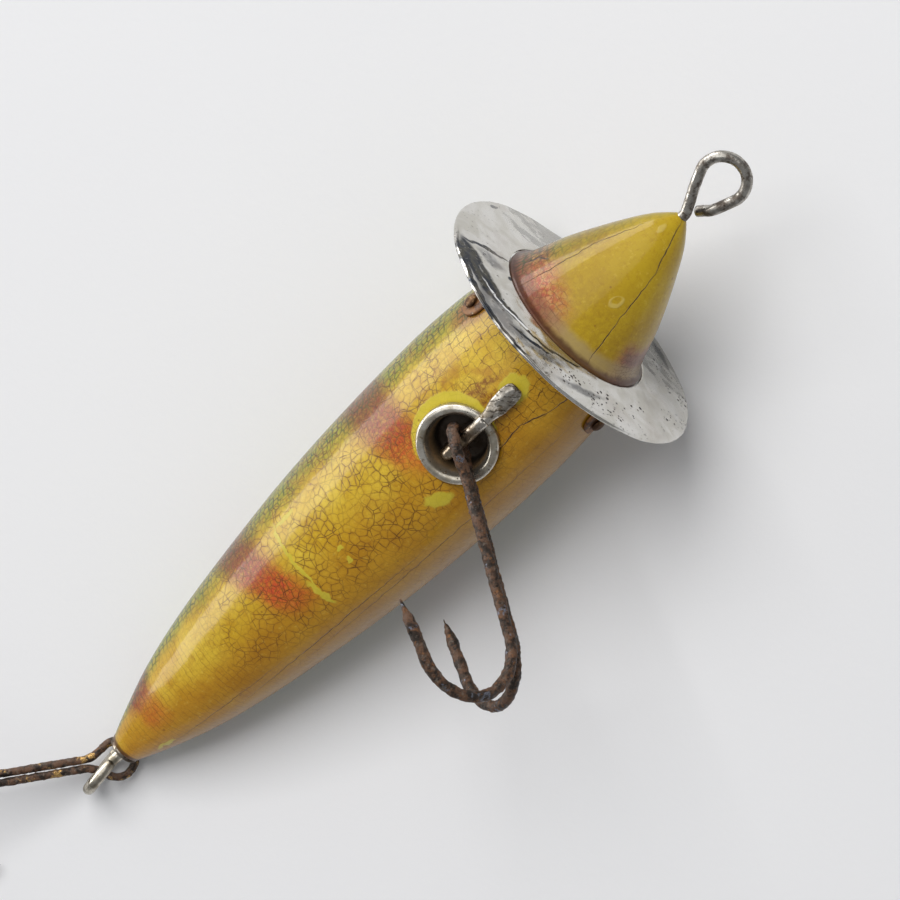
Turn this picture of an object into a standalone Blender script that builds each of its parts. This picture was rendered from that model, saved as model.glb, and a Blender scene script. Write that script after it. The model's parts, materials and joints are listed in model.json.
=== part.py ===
"""A wooden surface plug: a turned fishing lure with a fixed metal collar round its head.

The lure lies on its back, as it rests on a table: the belly cup faces up, and the lure stands on
the collar's rim and on its tail eye. World +X runs level from tail to nose, +Z is up, and the
origin is under the middle of the whole lure, on the surface that it lies on.

Everything fixed is modelled in the lure's own frame, whose X axis is the turning axis (nose tip
at x = 0, tail at negative x) and whose Z axis points out through the belly cup. "Station" means
the distance back from the nose tip.
"""
import math

import bmesh
import bpy
from mathutils import Matrix, Vector

MM = 0.001

# ---- driving dimensions, in millimetres and degrees -------------------------------------------
WOOD_LENGTH = 88.7
COLLAR_STATION = 16.0
COLLAR_HOLE_RADIUS = 9.25
COLLAR_RIM_RADIUS = 16.2
COLLAR_THICKNESS = 0.4
COLLAR_FLARE = 0.45            # how far the rim stands behind the hole
TAB_END_STATION = 22.6
TAB_END_RADIUS = 9.72          # tabs' underside at their ends; at the ring it is the hole's radius
TAB_WIDTH = 3.4
PIN_STATION = 21.1
PIN_ANGLES = (65.0, -65.0, 180.0)   # round the axis, from the belly cup
PIN_HEAD_RADIUS = 0.8
PIN_HEAD_HEIGHT = 0.42
PIN_SEAT_HEIGHT = 10.08        # under the pins' heads, from the turning axis
PIN_END_HEIGHT = 6.5
PIN_SHANK_RADIUS = 0.4

CUP_STATION = 31.1
CUP_FLANGE_RADIUS = 4.35
CUP_SEAT_HEIGHT = 9.6          # flange's underside, from the turning axis
CUP_RIM_HEIGHT = 10.55
CUP_FLOOR_HEIGHT = 6.9
CUP_WALL = 0.4
CUP_TOP_RADIUS = 3.8           # outside the wall, under the flange
CUP_BOTTOM_RADIUS = 3.15

HANGER_WIRE_RADIUS = 0.7
HANGER_LEG_STATION = 32.9
HANGER_LEG_DEPTH = 3.4         # the leg's end, past the turning axis
HANGER_BEND_RADIUS = 0.9
HANGER_CORNER_HEIGHT = 9.95
HANGER_RIM_STATION = 27.3
HANGER_RIM_HEIGHT = 11.35
PIVOT_STATION = 30.8

LINE_TIE_WIRE_RADIUS = 0.6
LINE_TIE_LOOP_RADIUS = 2.45
LINE_TIE_LOOP_REACH = 5.65     # loop's centre, ahead of the nose tip
LINE_TIE_LOOP_SHIFT = -0.15    # and this far to the side of the turning axis
LINE_TIE_SHANK_DEPTH = 10.5

TAIL_WASHER_RADIUS = 1.8
TAIL_WASHER_THICKNESS = 0.5
TAIL_EYE_WIRE_RADIUS = 0.66
TAIL_EYE_RADIUS = 2.37
TAIL_EYE_STATION = 93.05
TAIL_EYE_YAW = 10.0            # the eye is bent a little to one side
TAIL_EYE_SQUASH = 0.6          # and its turn is this share of the yaw's side step
TAIL_EYE_SHIFT = -0.1
TAIL_EYE_SHANK_DEPTH = 11.5

BELLY_SHANK_RISE = 28.5        # the shank leans on the cup's rim, this far above its plane
BELLY_SHANK_LEAN = 20.7        # and this far towards the tail
BELLY_SHANK_TWIST = -9.5
TAIL_PLANE_PITCH = 30.0        # tail hook's eye plane, nose end down
TAIL_SHANK_YAW = 37.0          # tail hook's shank, from straight back towards +Y
TAIL_LINK = (-0.3, -0.35, -0.85)    # where the tail hook's wire passes, from the eye's centre

ROLL = 10.0                    # the belly cup leans this far towards world -Y
RIM_REACH = 0.985              # share of the rim's radius that reaches down to the table
GAP = 0.08                     # clearance between pieces that touch
BORE_SPARE = 1.1               # how much deeper a bore is than the shank in it
POCKET_SPARE = 0.15            # clearance round the cup's wall
CUT_PAST = 1.6                 # how far a cutter stands out of the surface that it cuts
RING_STEPS = 48


def clear_scene():
    for obj in list(bpy.data.objects):
        bpy.data.objects.remove(obj, do_unlink=True)


def new_collection(name):
    collection = bpy.data.collections.new(name)
    bpy.context.scene.collection.children.link(collection)
    return collection


clear_scene()
PARTS = new_collection("surface_plug")
CUTTERS = new_collection("cutters")


def material(name, colour, roughness, metallic=0.0):
    made = bpy.data.materials.new(name)
    made.use_nodes = True
    shader = made.node_tree.nodes["Principled BSDF"]
    shader.inputs["Base Color"].default_value = (*colour, 1.0)
    shader.inputs["Roughness"].default_value = roughness
    shader.inputs["Metallic"].default_value = metallic
    return made


def rest_pitch():
    """The nose stands up by this angle when the collar's rim and the tail eye both touch down."""
    collar_station = COLLAR_STATION + COLLAR_FLARE + COLLAR_THICKNESS
    wheelbase = TAIL_EYE_STATION - collar_station
    eye_drop = TAIL_EYE_RADIUS * math.cos(math.radians(ROLL)) + TAIL_EYE_WIRE_RADIUS
    return math.asin((COLLAR_RIM_RADIUS * RIM_REACH - eye_drop) / wheelbase)


# The turning axis, as an empty that every fixed piece is parented to.
lure_axis = bpy.data.objects.new("lure_axis", None)
lure_axis.rotation_euler = (math.radians(ROLL), -rest_pitch(), 0.0)
PARTS.objects.link(lure_axis)


def place(obj, collection=PARTS, parent=lure_axis, matrix=None):
    collection.objects.link(obj)
    obj.parent = parent
    if matrix is not None:
        obj.matrix_local = matrix
    if collection is CUTTERS:
        obj.hide_render = True
        obj.display_type = "WIRE"
    return obj


ALONG_AXIS = Matrix.Rotation(math.pi / 2, 4, "Y")    # turns a lathe's +Z onto the lure's +X


def radial(angle_degrees, station, radius):
    """A frame on the body: its Z axis points out of the wood at this angle from the cup."""
    spin = Matrix.Rotation(-math.radians(angle_degrees), 4, "X")
    return spin @ Matrix.Translation(Vector((-station, 0, radius)) * MM)


def turned(name, profile, look, steps=RING_STEPS, closed=False, collection=PARTS, matrix=ALONG_AXIS):
    """A lathe-turned piece: (radius, height) pairs in mm run down the outer side, top to bottom."""
    mesh = bpy.data.meshes.new(name)
    points = [(radius * MM, 0.0, height * MM) for radius, height in profile]
    edges = [(i, i + 1) for i in range(len(points) - 1)]
    if closed:
        edges.append((len(points) - 1, 0))
    mesh.from_pydata(points, edges, [])
    if look:
        mesh.materials.append(look)
    obj = place(bpy.data.objects.new(name, mesh), collection, matrix=matrix)
    screw = obj.modifiers.new("turn", "SCREW")
    screw.axis = "Z"
    screw.steps = steps
    screw.render_steps = steps
    screw.use_merge_vertices = True
    screw.merge_threshold = 0.000001
    screw.use_smooth_shade = True
    return obj


def boolean(obj, other, operation="DIFFERENCE"):
    cut = obj.modifiers.new(operation.lower(), "BOOLEAN")
    cut.operation = operation
    cut.solver = "EXACT"
    cut.object = other


def rod(name, radius, length, matrix, sides=16, collection=CUTTERS, look=None):
    """A straight cylinder along its frame's Z axis, centred on the frame's origin."""
    shape = bmesh.new()
    bmesh.ops.create_cone(shape, cap_ends=True, segments=sides, radius1=radius * MM,
                          radius2=radius * MM, depth=length * MM)
    mesh = bpy.data.meshes.new(name)
    shape.to_mesh(mesh)
    shape.free()
    if look:
        mesh.materials.append(look)
    return place(bpy.data.objects.new(name, mesh), collection, matrix=matrix)


def block(name, size, matrix, collection=CUTTERS):
    shape = bmesh.new()
    bmesh.ops.create_cube(shape, size=1.0)
    bmesh.ops.scale(shape, vec=Vector(size) * MM, verts=shape.verts)
    mesh = bpy.data.meshes.new(name)
    shape.to_mesh(mesh)
    shape.free()
    return place(bpy.data.objects.new(name, mesh), collection, matrix=matrix)


def wire(name, points, radius, look, tapers=None, matrix=None, parent=lure_axis):
    """A round wire through these points (mm); tapers gives each point's share of the radius."""
    curve = bpy.data.curves.new(name, "CURVE")
    curve.dimensions = "3D"
    curve.fill_mode = "FULL"
    curve.bevel_depth = radius * MM
    curve.bevel_resolution = 2
    curve.resolution_u = 1
    curve.render_resolution_u = 0
    curve.use_fill_caps = True
    spline = curve.splines.new("POLY")
    spline.points.add(len(points) - 1)
    for index, (point, place_on) in enumerate(zip(spline.points, points)):
        point.co = (*(Vector(place_on) * MM), 1.0)
        point.radius = tapers[index] if tapers else 1.0
    curve.materials.append(look)
    return place(bpy.data.objects.new(name, curve), parent=parent, matrix=matrix)


def as_mesh(curve_object):
    """The same object as a mesh with its caps welded on, so that it can be cut and joined."""
    bpy.context.view_layer.update()
    evaluated = curve_object.evaluated_get(bpy.context.evaluated_depsgraph_get())
    mesh = bpy.data.meshes.new_from_object(evaluated)
    shape = bmesh.new()
    shape.from_mesh(mesh)
    bmesh.ops.remove_doubles(shape, verts=shape.verts, dist=0.000001)
    bmesh.ops.recalc_face_normals(shape, faces=shape.faces)
    shape.to_mesh(mesh)
    shape.free()
    mesh.shade_smooth()
    name, parent, matrix = curve_object.name, curve_object.parent, curve_object.matrix_world.copy()
    curve = curve_object.data
    bpy.data.objects.remove(curve_object)
    bpy.data.curves.remove(curve)
    mesh.name = name
    obj = bpy.data.objects.new(name, mesh)
    PARTS.objects.link(obj)
    obj.parent = parent
    obj.matrix_world = matrix
    return obj


def arc(centre, radius, start, end, steps):
    """Points (u, v) round a circle, from start to end in degrees."""
    angles = [math.radians(start + (end - start) * i / steps) for i in range(steps + 1)]
    return [(centre[0] + radius * math.cos(a), centre[1] + radius * math.sin(a)) for a in angles]


def straight(start, end, steps):
    """Points from start up to, and not including, end."""
    start, end = Vector(start), Vector(end)
    return [start.lerp(end, i / steps) for i in range(steps)]


def smooth_outline(knots, spacing):
    """A smooth curve through (station, radius) knots, by cubic segments with matched slopes."""
    slopes = []
    for i in range(len(knots)):
        before, after = knots[max(i - 1, 0)], knots[min(i + 1, len(knots) - 1)]
        slopes.append((after[1] - before[1]) / (after[0] - before[0]))
    outline = []
    for i in range(len(knots) - 1):
        (x0, y0), (x1, y1) = knots[i], knots[i + 1]
        width = x1 - x0
        count = max(1, round(width / spacing))
        for step in range(count):
            t = step / count
            rise = (2 * t**3 - 3 * t**2 + 1) * y0 + (3 * t**2 - 2 * t**3) * y1
            lean = (t**3 - 2 * t**2 + t) * slopes[i] + (t**3 - t**2) * slopes[i + 1]
            outline.append((x0 + width * t, rise + lean * width))
    outline.append(knots[-1])
    return outline


# ---- wood -------------------------------------------------------------------------------------
HEAD_KNOTS = [(0.35, 0.75), (1.0, 1.35), (2.5, 2.52), (5.0, 3.93), (8.0, 5.44), (11.0, 6.78),
              (14.0, 7.85), (15.2, 8.35)]
BODY_KNOTS = [(16.6, 9.1), (20.0, 9.35), (25.0, 9.82), (31.0, 10.05), (38.0, 9.95), (45.0, 9.65),
              (53.0, 9.05), (61.0, 8.15), (68.0, 7.2), (74.0, 6.2), (79.5, 4.95), (84.0, 3.55),
              (87.0, 2.5), (88.3, 2.0)]


def wood_profile():
    """The turned body from the nose tip back: head, flared lip, collar seat, body, flat tail."""
    outline = [(0.0, 0.0), (0.1, 0.45)]
    outline += smooth_outline(HEAD_KNOTS, 1.5)
    outline += [(15.6, 8.62), (COLLAR_STATION - GAP, 9.1)]
    outline += smooth_outline(BODY_KNOTS, 3.0)
    outline += [(WOOD_LENGTH, 1.85), (WOOD_LENGTH, 0.0)]
    return [(radius, -station) for station, radius in outline]


def cup_cavity():
    """The pocket bored in the belly for the cup, with a shallow seat for its flange."""
    above, seat = CUP_RIM_HEIGHT + CUT_PAST, CUP_SEAT_HEIGHT - GAP
    floor = CUP_FLOOR_HEIGHT - CUP_WALL - GAP
    return [(0.0, above), (CUP_FLANGE_RADIUS + GAP, above), (CUP_FLANGE_RADIUS + GAP, seat),
            (CUP_TOP_RADIUS + POCKET_SPARE, seat), (CUP_BOTTOM_RADIUS + POCKET_SPARE, floor),
            (0.0, floor)]


def bore(wood, name, wire_radius, shank_depth, mouth, inward):
    """A blind hole on the turning axis, from its mouth, for a screw eye's shank."""
    length = shank_depth + BORE_SPARE + CUT_PAST
    middle = mouth + inward * (length / 2 - CUT_PAST)
    frame = Matrix.Translation(Vector((middle, 0, 0)) * MM) @ ALONG_AXIS
    boolean(wood, rod(name, wire_radius + GAP, length, frame))


def make_wood(lacquer):
    wood = turned("wood_body", wood_profile(), lacquer, steps=44)
    up = radial(0.0, CUP_STATION, 0.0)
    boolean(wood, turned("cup_cutter", cup_cavity(), None, steps=28, collection=CUTTERS, matrix=up))
    leg_bottom, leg_top = -HANGER_LEG_DEPTH - BORE_SPARE, CUP_FLOOR_HEIGHT + CUT_PAST
    leg_middle = radial(0.0, HANGER_LEG_STATION, (leg_bottom + leg_top) / 2)
    boolean(wood, rod("leg_cutter", HANGER_WIRE_RADIUS + GAP, leg_top - leg_bottom, leg_middle))
    bore(wood, "nose_cutter", LINE_TIE_WIRE_RADIUS, LINE_TIE_SHANK_DEPTH, 0.0, -1.0)
    bore(wood, "tail_cutter", TAIL_EYE_WIRE_RADIUS, TAIL_EYE_SHANK_DEPTH, -WOOD_LENGTH, 1.0)
    pin_bottom, pin_top = PIN_END_HEIGHT - GAP, PIN_SEAT_HEIGHT + CUT_PAST
    for number, angle in enumerate(PIN_ANGLES, start=1):
        frame = radial(angle, PIN_STATION, (pin_bottom + pin_top) / 2)
        boolean(wood, rod(f"pin_cutter_{number}", PIN_SHANK_RADIUS + GAP, pin_top - pin_bottom,
                          frame, sides=12))
    return wood


# ---- collar and its pins ----------------------------------------------------------------------
def make_collar(nickel):
    """A thin flared ring with three tabs bent back along the wood, each with a pin hole."""
    front, back = -COLLAR_STATION, -COLLAR_STATION - COLLAR_THICKNESS
    edge = COLLAR_THICKNESS * 0.25
    ring = [(COLLAR_HOLE_RADIUS, front),
            (COLLAR_RIM_RADIUS - edge, front - COLLAR_FLARE),
            (COLLAR_RIM_RADIUS, front - COLLAR_FLARE - edge),
            (COLLAR_RIM_RADIUS, back - COLLAR_FLARE + edge),
            (COLLAR_RIM_RADIUS - edge, back - COLLAR_FLARE),
            (COLLAR_HOLE_RADIUS, back)]
    collar = turned("collar", ring, nickel, closed=True)
    root, lift = front - 0.1, 0.02            # each tab is sunk a little into the ring
    sleeve = [(COLLAR_HOLE_RADIUS + lift + COLLAR_THICKNESS, root),
              (TAB_END_RADIUS + COLLAR_THICKNESS * 0.875, -TAB_END_STATION),
              (TAB_END_RADIUS, -TAB_END_STATION), (COLLAR_HOLE_RADIUS + lift, root)]
    middle, half_way = (COLLAR_STATION + TAB_END_STATION) / 2, (COLLAR_HOLE_RADIUS + TAB_END_RADIUS) / 2
    for number, angle in enumerate(PIN_ANGLES, start=1):
        keep = block(f"tab_keep_{number}", (8.0, TAB_WIDTH, 4.0), radial(angle, middle, half_way))
        tab = turned(f"tab_{number}", sleeve, None, closed=True, collection=CUTTERS)
        boolean(tab, keep, "INTERSECT")
        boolean(collar, tab, "UNION")
    for number, angle in enumerate(PIN_ANGLES, start=1):
        frame = radial(angle, PIN_STATION, TAB_END_RADIUS)
        boolean(collar, rod(f"tab_hole_{number}", PIN_SHANK_RADIUS + GAP, 2 * CUT_PAST, frame,
                            sides=12))
    return collar


def make_pins(brass):
    """Small domed brads that nail the collar's tabs to the wood."""
    dome = [(PIN_HEAD_RADIUS * math.sin(math.radians(a)),
             PIN_SEAT_HEIGHT + PIN_HEAD_HEIGHT * math.cos(math.radians(a))) for a in (0, 30, 55, 80)]
    shank = [(PIN_HEAD_RADIUS, PIN_SEAT_HEIGHT), (PIN_SHANK_RADIUS, PIN_SEAT_HEIGHT),
             (PIN_SHANK_RADIUS, PIN_END_HEIGHT + 0.7), (0.1, PIN_END_HEIGHT), (0.0, PIN_END_HEIGHT)]
    for number, angle in enumerate(PIN_ANGLES, start=1):
        frame = radial(angle, PIN_STATION, 0.0)
        turned(f"collar_pin_{number}", dome + shank, brass, steps=12, matrix=frame)


# ---- belly cup and hanger ---------------------------------------------------------------------
def make_cup(nickel):
    """A pressed cup: rolled rim, flat flange, tapering wall and a floor pierced for the hanger."""
    rim, bottom = CUP_RIM_HEIGHT, CUP_FLOOR_HEIGHT - CUP_WALL
    outside = [(CUP_FLANGE_RADIUS - 0.15, rim - 0.12), (CUP_FLANGE_RADIUS, rim - 0.45),
               (CUP_FLANGE_RADIUS, CUP_SEAT_HEIGHT), (CUP_TOP_RADIUS, CUP_SEAT_HEIGHT),
               (CUP_BOTTOM_RADIUS, bottom), (0.0, bottom)]
    bore_top, bore_bottom = CUP_TOP_RADIUS - CUP_WALL, CUP_BOTTOM_RADIUS - CUP_WALL
    inside = [(0.0, CUP_FLOOR_HEIGHT), (bore_bottom, CUP_FLOOR_HEIGHT),
              (bore_top - 0.05, CUP_SEAT_HEIGHT), (bore_top + 0.05, rim - 0.3),
              (bore_top + 0.25, rim - 0.05), (bore_top + 0.5, rim)]
    cup = turned("hook_cup", inside + outside, nickel, steps=32,
                 matrix=radial(0.0, CUP_STATION, 0.0))
    frame = radial(0.0, HANGER_LEG_STATION, CUP_FLOOR_HEIGHT)
    boolean(cup, rod("cup_hole_cutter", HANGER_WIRE_RADIUS + GAP, 2 * CUT_PAST, frame))
    return cup


def hanger_slope():
    run = HANGER_LEG_STATION - HANGER_RIM_STATION
    return math.atan2(HANGER_RIM_HEIGHT - HANGER_CORNER_HEIGHT, run)


def make_hanger(nickel):
    """One wire: a leg down into the wood, a bend, a run out over the rim, and a flattened foot.

    Each station is (x, z, half width, half thickness); the foot is hammered flat, so the
    sections change from round to wide, which is why they are lofted.
    """
    wire_radius, bend = HANGER_WIRE_RADIUS, HANGER_BEND_RADIUS
    leg = -HANGER_LEG_STATION
    turn = math.pi / 2 - hanger_slope()
    stations = [(leg, -HANGER_LEG_DEPTH, 0.2), (leg, 0.8 - HANGER_LEG_DEPTH, wire_radius),
                (leg, HANGER_LEG_DEPTH, wire_radius)]
    reach = bend * math.tan(turn / 2)
    for i in range(6):
        swept = turn * i / 5
        stations.append((leg + bend - bend * math.cos(swept),
                         HANGER_CORNER_HEIGHT - reach + bend * math.sin(swept), wire_radius))
    stations += [(-HANGER_RIM_STATION, HANGER_RIM_HEIGHT, wire_radius),
                 (-26.6, 11.4, wire_radius)]
    sections = [(x, z, r, r) for x, z, r in stations]
    sections += [(-26.0, 11.2, 0.7, 0.66), (-25.4, 10.85, 0.85, 0.55), (-24.7, 10.6, 1.0, 0.47),
                 (-23.8, 10.5, 1.05, 0.43), (-22.9, 10.42, 1.03, 0.42), (-22.3, 10.32, 0.9, 0.38),
                 (-21.95, 10.18, 0.6, 0.26)]
    sides = 12
    shape = bmesh.new()
    rings = []
    for i, (x, z, half_width, half_thick) in enumerate(sections):
        before, after = sections[max(i - 1, 0)], sections[min(i + 1, len(sections) - 1)]
        along = Vector((after[0] - before[0], 0.0, after[1] - before[1])).normalized()
        across = Vector((0.0, 1.0, 0.0))
        up = along.cross(across)
        ring = []
        for step in range(sides):
            angle = 2 * math.pi * step / sides
            offset = across * half_width * math.cos(angle) + up * half_thick * math.sin(angle)
            ring.append(shape.verts.new((Vector((x, 0.0, z)) + offset) * MM))
        rings.append(ring)
    for first, second in zip(rings, rings[1:]):
        for step in range(sides):
            after = (step + 1) % sides
            shape.faces.new((first[step], first[after], second[after], second[step]))
    shape.faces.new(rings[0])
    shape.faces.new(rings[-1])
    bmesh.ops.recalc_face_normals(shape, faces=shape.faces)
    mesh = bpy.data.meshes.new("hook_hanger")
    shape.to_mesh(mesh)
    shape.free()
    mesh.materials.append(nickel)
    mesh.shade_smooth()
    return place(bpy.data.objects.new("hook_hanger", mesh))


# ---- nose and tail hardware -------------------------------------------------------------------
def make_line_tie(nickel):
    """The nose screw eye: a shank in the wood, then a teardrop loop that closes on itself."""
    reach, loop = LINE_TIE_LOOP_REACH, LINE_TIE_LOOP_RADIUS
    lean = math.degrees(math.asin(loop / (reach - 0.4)))
    start, end = 90.0 + lean, -78.0 - lean
    around = arc((reach, LINE_TIE_LOOP_SHIFT), loop, start, end, 16)
    nose = Vector((0.2, 0, 0))
    shank = straight((-LINE_TIE_SHANK_DEPTH, 0, 0), nose, 3) + [nose, Vector((0.75, 0.2, 0))]
    flank = [Vector((1.6, 0.62, 0)), Vector((2.9, 1.3, 0))]
    closing = [Vector((2.6, -1.72, -0.25)), Vector((1.75, -1.25, -0.75)), Vector((1.0, -0.8, -1.15))]
    points = shank + flank + [Vector((u, v, 0)) for u, v in around] + closing
    return wire("line_tie", points, LINE_TIE_WIRE_RADIUS, nickel)


def make_washer(nickel):
    top = -WOOD_LENGTH - GAP
    bottom, edge = top - TAIL_WASHER_THICKNESS, 0.12
    bore = TAIL_EYE_WIRE_RADIUS + GAP
    ring = [(bore, top), (TAIL_WASHER_RADIUS - edge, top), (TAIL_WASHER_RADIUS, top - edge),
            (TAIL_WASHER_RADIUS, bottom + edge), (TAIL_WASHER_RADIUS - edge, bottom), (bore, bottom)]
    return turned("tail_washer", ring, nickel, steps=24, closed=True)


def make_tail_eye(nickel):
    """The tail screw eye: a shank along the axis and a ring that stands upright."""
    centre = -TAIL_EYE_STATION
    shank_end = -WOOD_LENGTH - TAIL_WASHER_THICKNESS - 2 * GAP
    yaw = math.radians(TAIL_EYE_YAW)
    buried = TAIL_EYE_SHANK_DEPTH - WOOD_LENGTH
    points = straight((buried, 0, 0), (shank_end, 0, 0), 3) + [Vector((shank_end, 0, 0))]
    for u, v in arc((0.0, 0.0), TAIL_EYE_RADIUS, 22.0, 330.0, 22):
        aside = u * math.sin(yaw) * TAIL_EYE_SQUASH + TAIL_EYE_SHIFT
        points.append(Vector((centre + u * math.cos(yaw), aside, v)))
    return wire("tail_screw_eye", points, TAIL_EYE_WIRE_RADIUS, nickel)


# ---- double hooks -----------------------------------------------------------------------------
BARB_LENGTH = 2.0
BARB_LIFT = 0.42               # how far a barb leans out from the wire, for each step back


class Hook:
    """One double hook, bent from a single wire, in its own frame.

    X runs down the shank from the pivot, Y separates the two legs, and both points turn up
    towards +Z, each spread to its own side.
    """

    def __init__(self, wire_radius, eye_radius, pivot_to_eye_end, shank, bend, spread, point,
                 slant):
        self.wire_radius = wire_radius
        self.eye_radius = eye_radius
        self.eye_end = pivot_to_eye_end
        self.shank = shank
        self.bend = bend
        self.spread = math.radians(spread)
        self.point = point
        self.slant = math.radians(slant)

    def leg(self):
        """Points and tapers from the eye's far end down one leg and round to its point."""
        eye, offset = self.eye_radius, self.wire_radius + 0.05
        centre = eye - self.eye_end
        points = [Vector((u, v, 0)) for u, v in arc((centre, 0), eye, 180.0, 52.0, 7)]
        start, turn = points[-1], math.radians(52.0)
        leaving = Vector((math.sin(turn), -math.cos(turn), 0))
        close = Vector((centre + 1.9 * eye, offset, 0))
        pulls = (start, start + leaving * eye * 0.55, close - Vector((eye * 0.55, 0, 0)), close)
        for i in range(1, 5):
            t = i / 4
            weights = ((1 - t)**3, 3 * t * (1 - t)**2, 3 * t**2 * (1 - t), t**3)
            points.append(sum((pull * w for pull, w in zip(pulls, weights)), Vector()))
        out = Vector((0, math.sin(self.spread), math.cos(self.spread)))
        foot = Vector((self.shank, offset, 0))
        points += straight(close, foot, 4)[1:]
        for angle in range(0, 181, 15):
            swept = math.radians(angle)
            points.append(foot + Vector((self.bend * math.sin(swept), 0, 0))
                          + out * self.bend * (1 - math.cos(swept)))
        tip = points[-1]
        slant = Vector((-math.cos(self.slant), 0, 0)) + out * math.sin(self.slant)
        tapers = [1.0] * len(points)
        for share, taper in ((0.3, 1.0), (0.5, 0.98), (0.62, 0.85), (0.85, 0.4), (1.0, 0.1)):
            points.append(tip + slant * self.point * share)
            tapers.append(taper)
        return points, tapers, out, slant

    def build(self, name, look, parent, matrix):
        points, tapers, out, slant = self.leg()
        mirrored = [Vector((p.x, -p.y, p.z)) for p in points[1:]]
        path = list(reversed(mirrored)) + points
        hook = wire(name, path, self.wire_radius, look, list(reversed(tapers[1:])) + tapers,
                    matrix=matrix, parent=parent)
        hook = as_mesh(hook)
        for number, side in enumerate((1.0, -1.0), start=1):
            outward = Vector((0, out.y * side, out.z))
            back = Vector((-slant.x, -slant.y * side, -slant.z)).normalized()
            root = Vector((points[-3].x, points[-3].y * side, points[-3].z))
            aim = (back + outward * BARB_LIFT).normalized()
            frame = (Matrix.Translation((root + aim * BARB_LENGTH * 0.375) * MM)
                     @ aim.to_track_quat("Z", "Y").to_matrix().to_4x4())
            barb = barb_cone(f"{name}_barb_{number}", self.wire_radius)
            place(barb, CUTTERS, parent=parent, matrix=matrix @ frame)
            boolean(hook, barb, "UNION")
        return hook


def barb_cone(name, wire_radius):
    """The sliver of wire raised behind a point."""
    shape = bmesh.new()
    bmesh.ops.create_cone(shape, cap_ends=True, segments=8, radius1=wire_radius * 0.62 * MM,
                          radius2=0.06 * MM, depth=BARB_LENGTH * MM)
    mesh = bpy.data.meshes.new(name)
    shape.to_mesh(mesh)
    shape.free()
    return bpy.data.objects.new(name, mesh)


def frame_from(x_axis, y_axis, origin=(0, 0, 0)):
    """A frame with this X axis, whose Y axis is as near as can be to y_axis."""
    x_axis = Vector(x_axis).normalized()
    y_axis = (Vector(y_axis) - x_axis * x_axis.dot(Vector(y_axis))).normalized()
    z_axis = x_axis.cross(y_axis)
    frame = Matrix((x_axis, y_axis, z_axis)).transposed().to_4x4()
    return Matrix.Translation(Vector(origin) * MM) @ frame


def axis_empty(name, point, direction):
    """An empty on a joint's axis, with its Z axis along it, and its frame in the lure's."""
    turn = Vector(direction).normalized().to_track_quat("Z", "Y").to_matrix().to_4x4()
    frame = Matrix.Translation(Vector(point) * MM) @ turn
    return place(bpy.data.objects.new(name, None), matrix=frame), frame


def make_belly_hook(rust):
    """Hangs on the hanger's run inside the cup and leans on the cup's rim, over the -Y side."""
    slope = hanger_slope()
    back = HANGER_LEG_STATION - PIVOT_STATION
    pivot = Vector((-PIVOT_STATION, 0, HANGER_CORNER_HEIGHT + back * math.tan(slope)))
    hinge, hinge_frame = axis_empty("belly_hook_axis", pivot, (math.cos(slope), 0, math.sin(slope)))
    rise, lean = math.radians(BELLY_SHANK_RISE), math.radians(BELLY_SHANK_LEAN)
    shank = Vector((-math.sin(lean), -math.cos(lean) * math.cos(rise), math.cos(lean) * math.sin(rise)))
    upright = frame_from(shank, (0, 0, 1))
    twist = Matrix.Rotation(math.radians(BELLY_SHANK_TWIST), 4, "X")
    hook = Hook(wire_radius=0.6, eye_radius=2.0, pivot_to_eye_end=1.65, shank=20.6, bend=5.6,
                spread=49.0, point=5.4, slant=11.0)
    in_lure = Matrix.Translation(pivot * MM) @ upright @ twist
    return hook.build("belly_hook", rust, hinge, hinge_frame.inverted() @ in_lure)


def make_tail_hook(rust):
    """Linked through the tail eye, pushed up under the tail, its two points on the table."""
    pitch, yaw = math.radians(TAIL_PLANE_PITCH), math.radians(TAIL_SHANK_YAW)
    down_nose = Vector((math.cos(pitch), 0, -math.sin(pitch)))
    normal = Vector((math.sin(pitch), 0, math.cos(pitch)))
    eye_radius = 2.0
    through = Vector((-TAIL_EYE_STATION, 0, 0)) + Vector(TAIL_LINK)
    centre = through + down_nose * eye_radius
    shank = -down_nose * math.cos(yaw) + Vector((0, 1, 0)) * math.sin(yaw)
    hinge, hinge_frame = axis_empty("tail_hook_axis", centre, normal)
    side = shank.cross(normal)
    hook = Hook(wire_radius=0.45, eye_radius=eye_radius, pivot_to_eye_end=eye_radius, shank=19.0,
                bend=5.4, spread=54.0, point=4.8, slant=9.0)
    in_lure = frame_from(shank, side, centre)
    return hook.build("tail_hook", rust, hinge, hinge_frame.inverted() @ in_lure)


def stand_on_origin():
    """Moves the whole lure so that it stands on z = 0, centred over the origin."""
    bpy.context.view_layer.update()
    depsgraph = bpy.context.evaluated_depsgraph_get()
    lowest, highest = Vector((1, 1, 1)), Vector((-1, -1, -1))
    for obj in PARTS.objects:
        if obj.type == "EMPTY":
            continue
        evaluated = obj.evaluated_get(depsgraph)
        mesh = evaluated.to_mesh()
        for vertex in mesh.vertices:
            point = evaluated.matrix_world @ vertex.co
            lowest = Vector(map(min, lowest, point))
            highest = Vector(map(max, highest, point))
        evaluated.to_mesh_clear()
    middle = (lowest + highest) / 2
    lure_axis.location -= Vector((middle.x, middle.y, lowest.z))
    bpy.context.view_layer.update()


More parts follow.
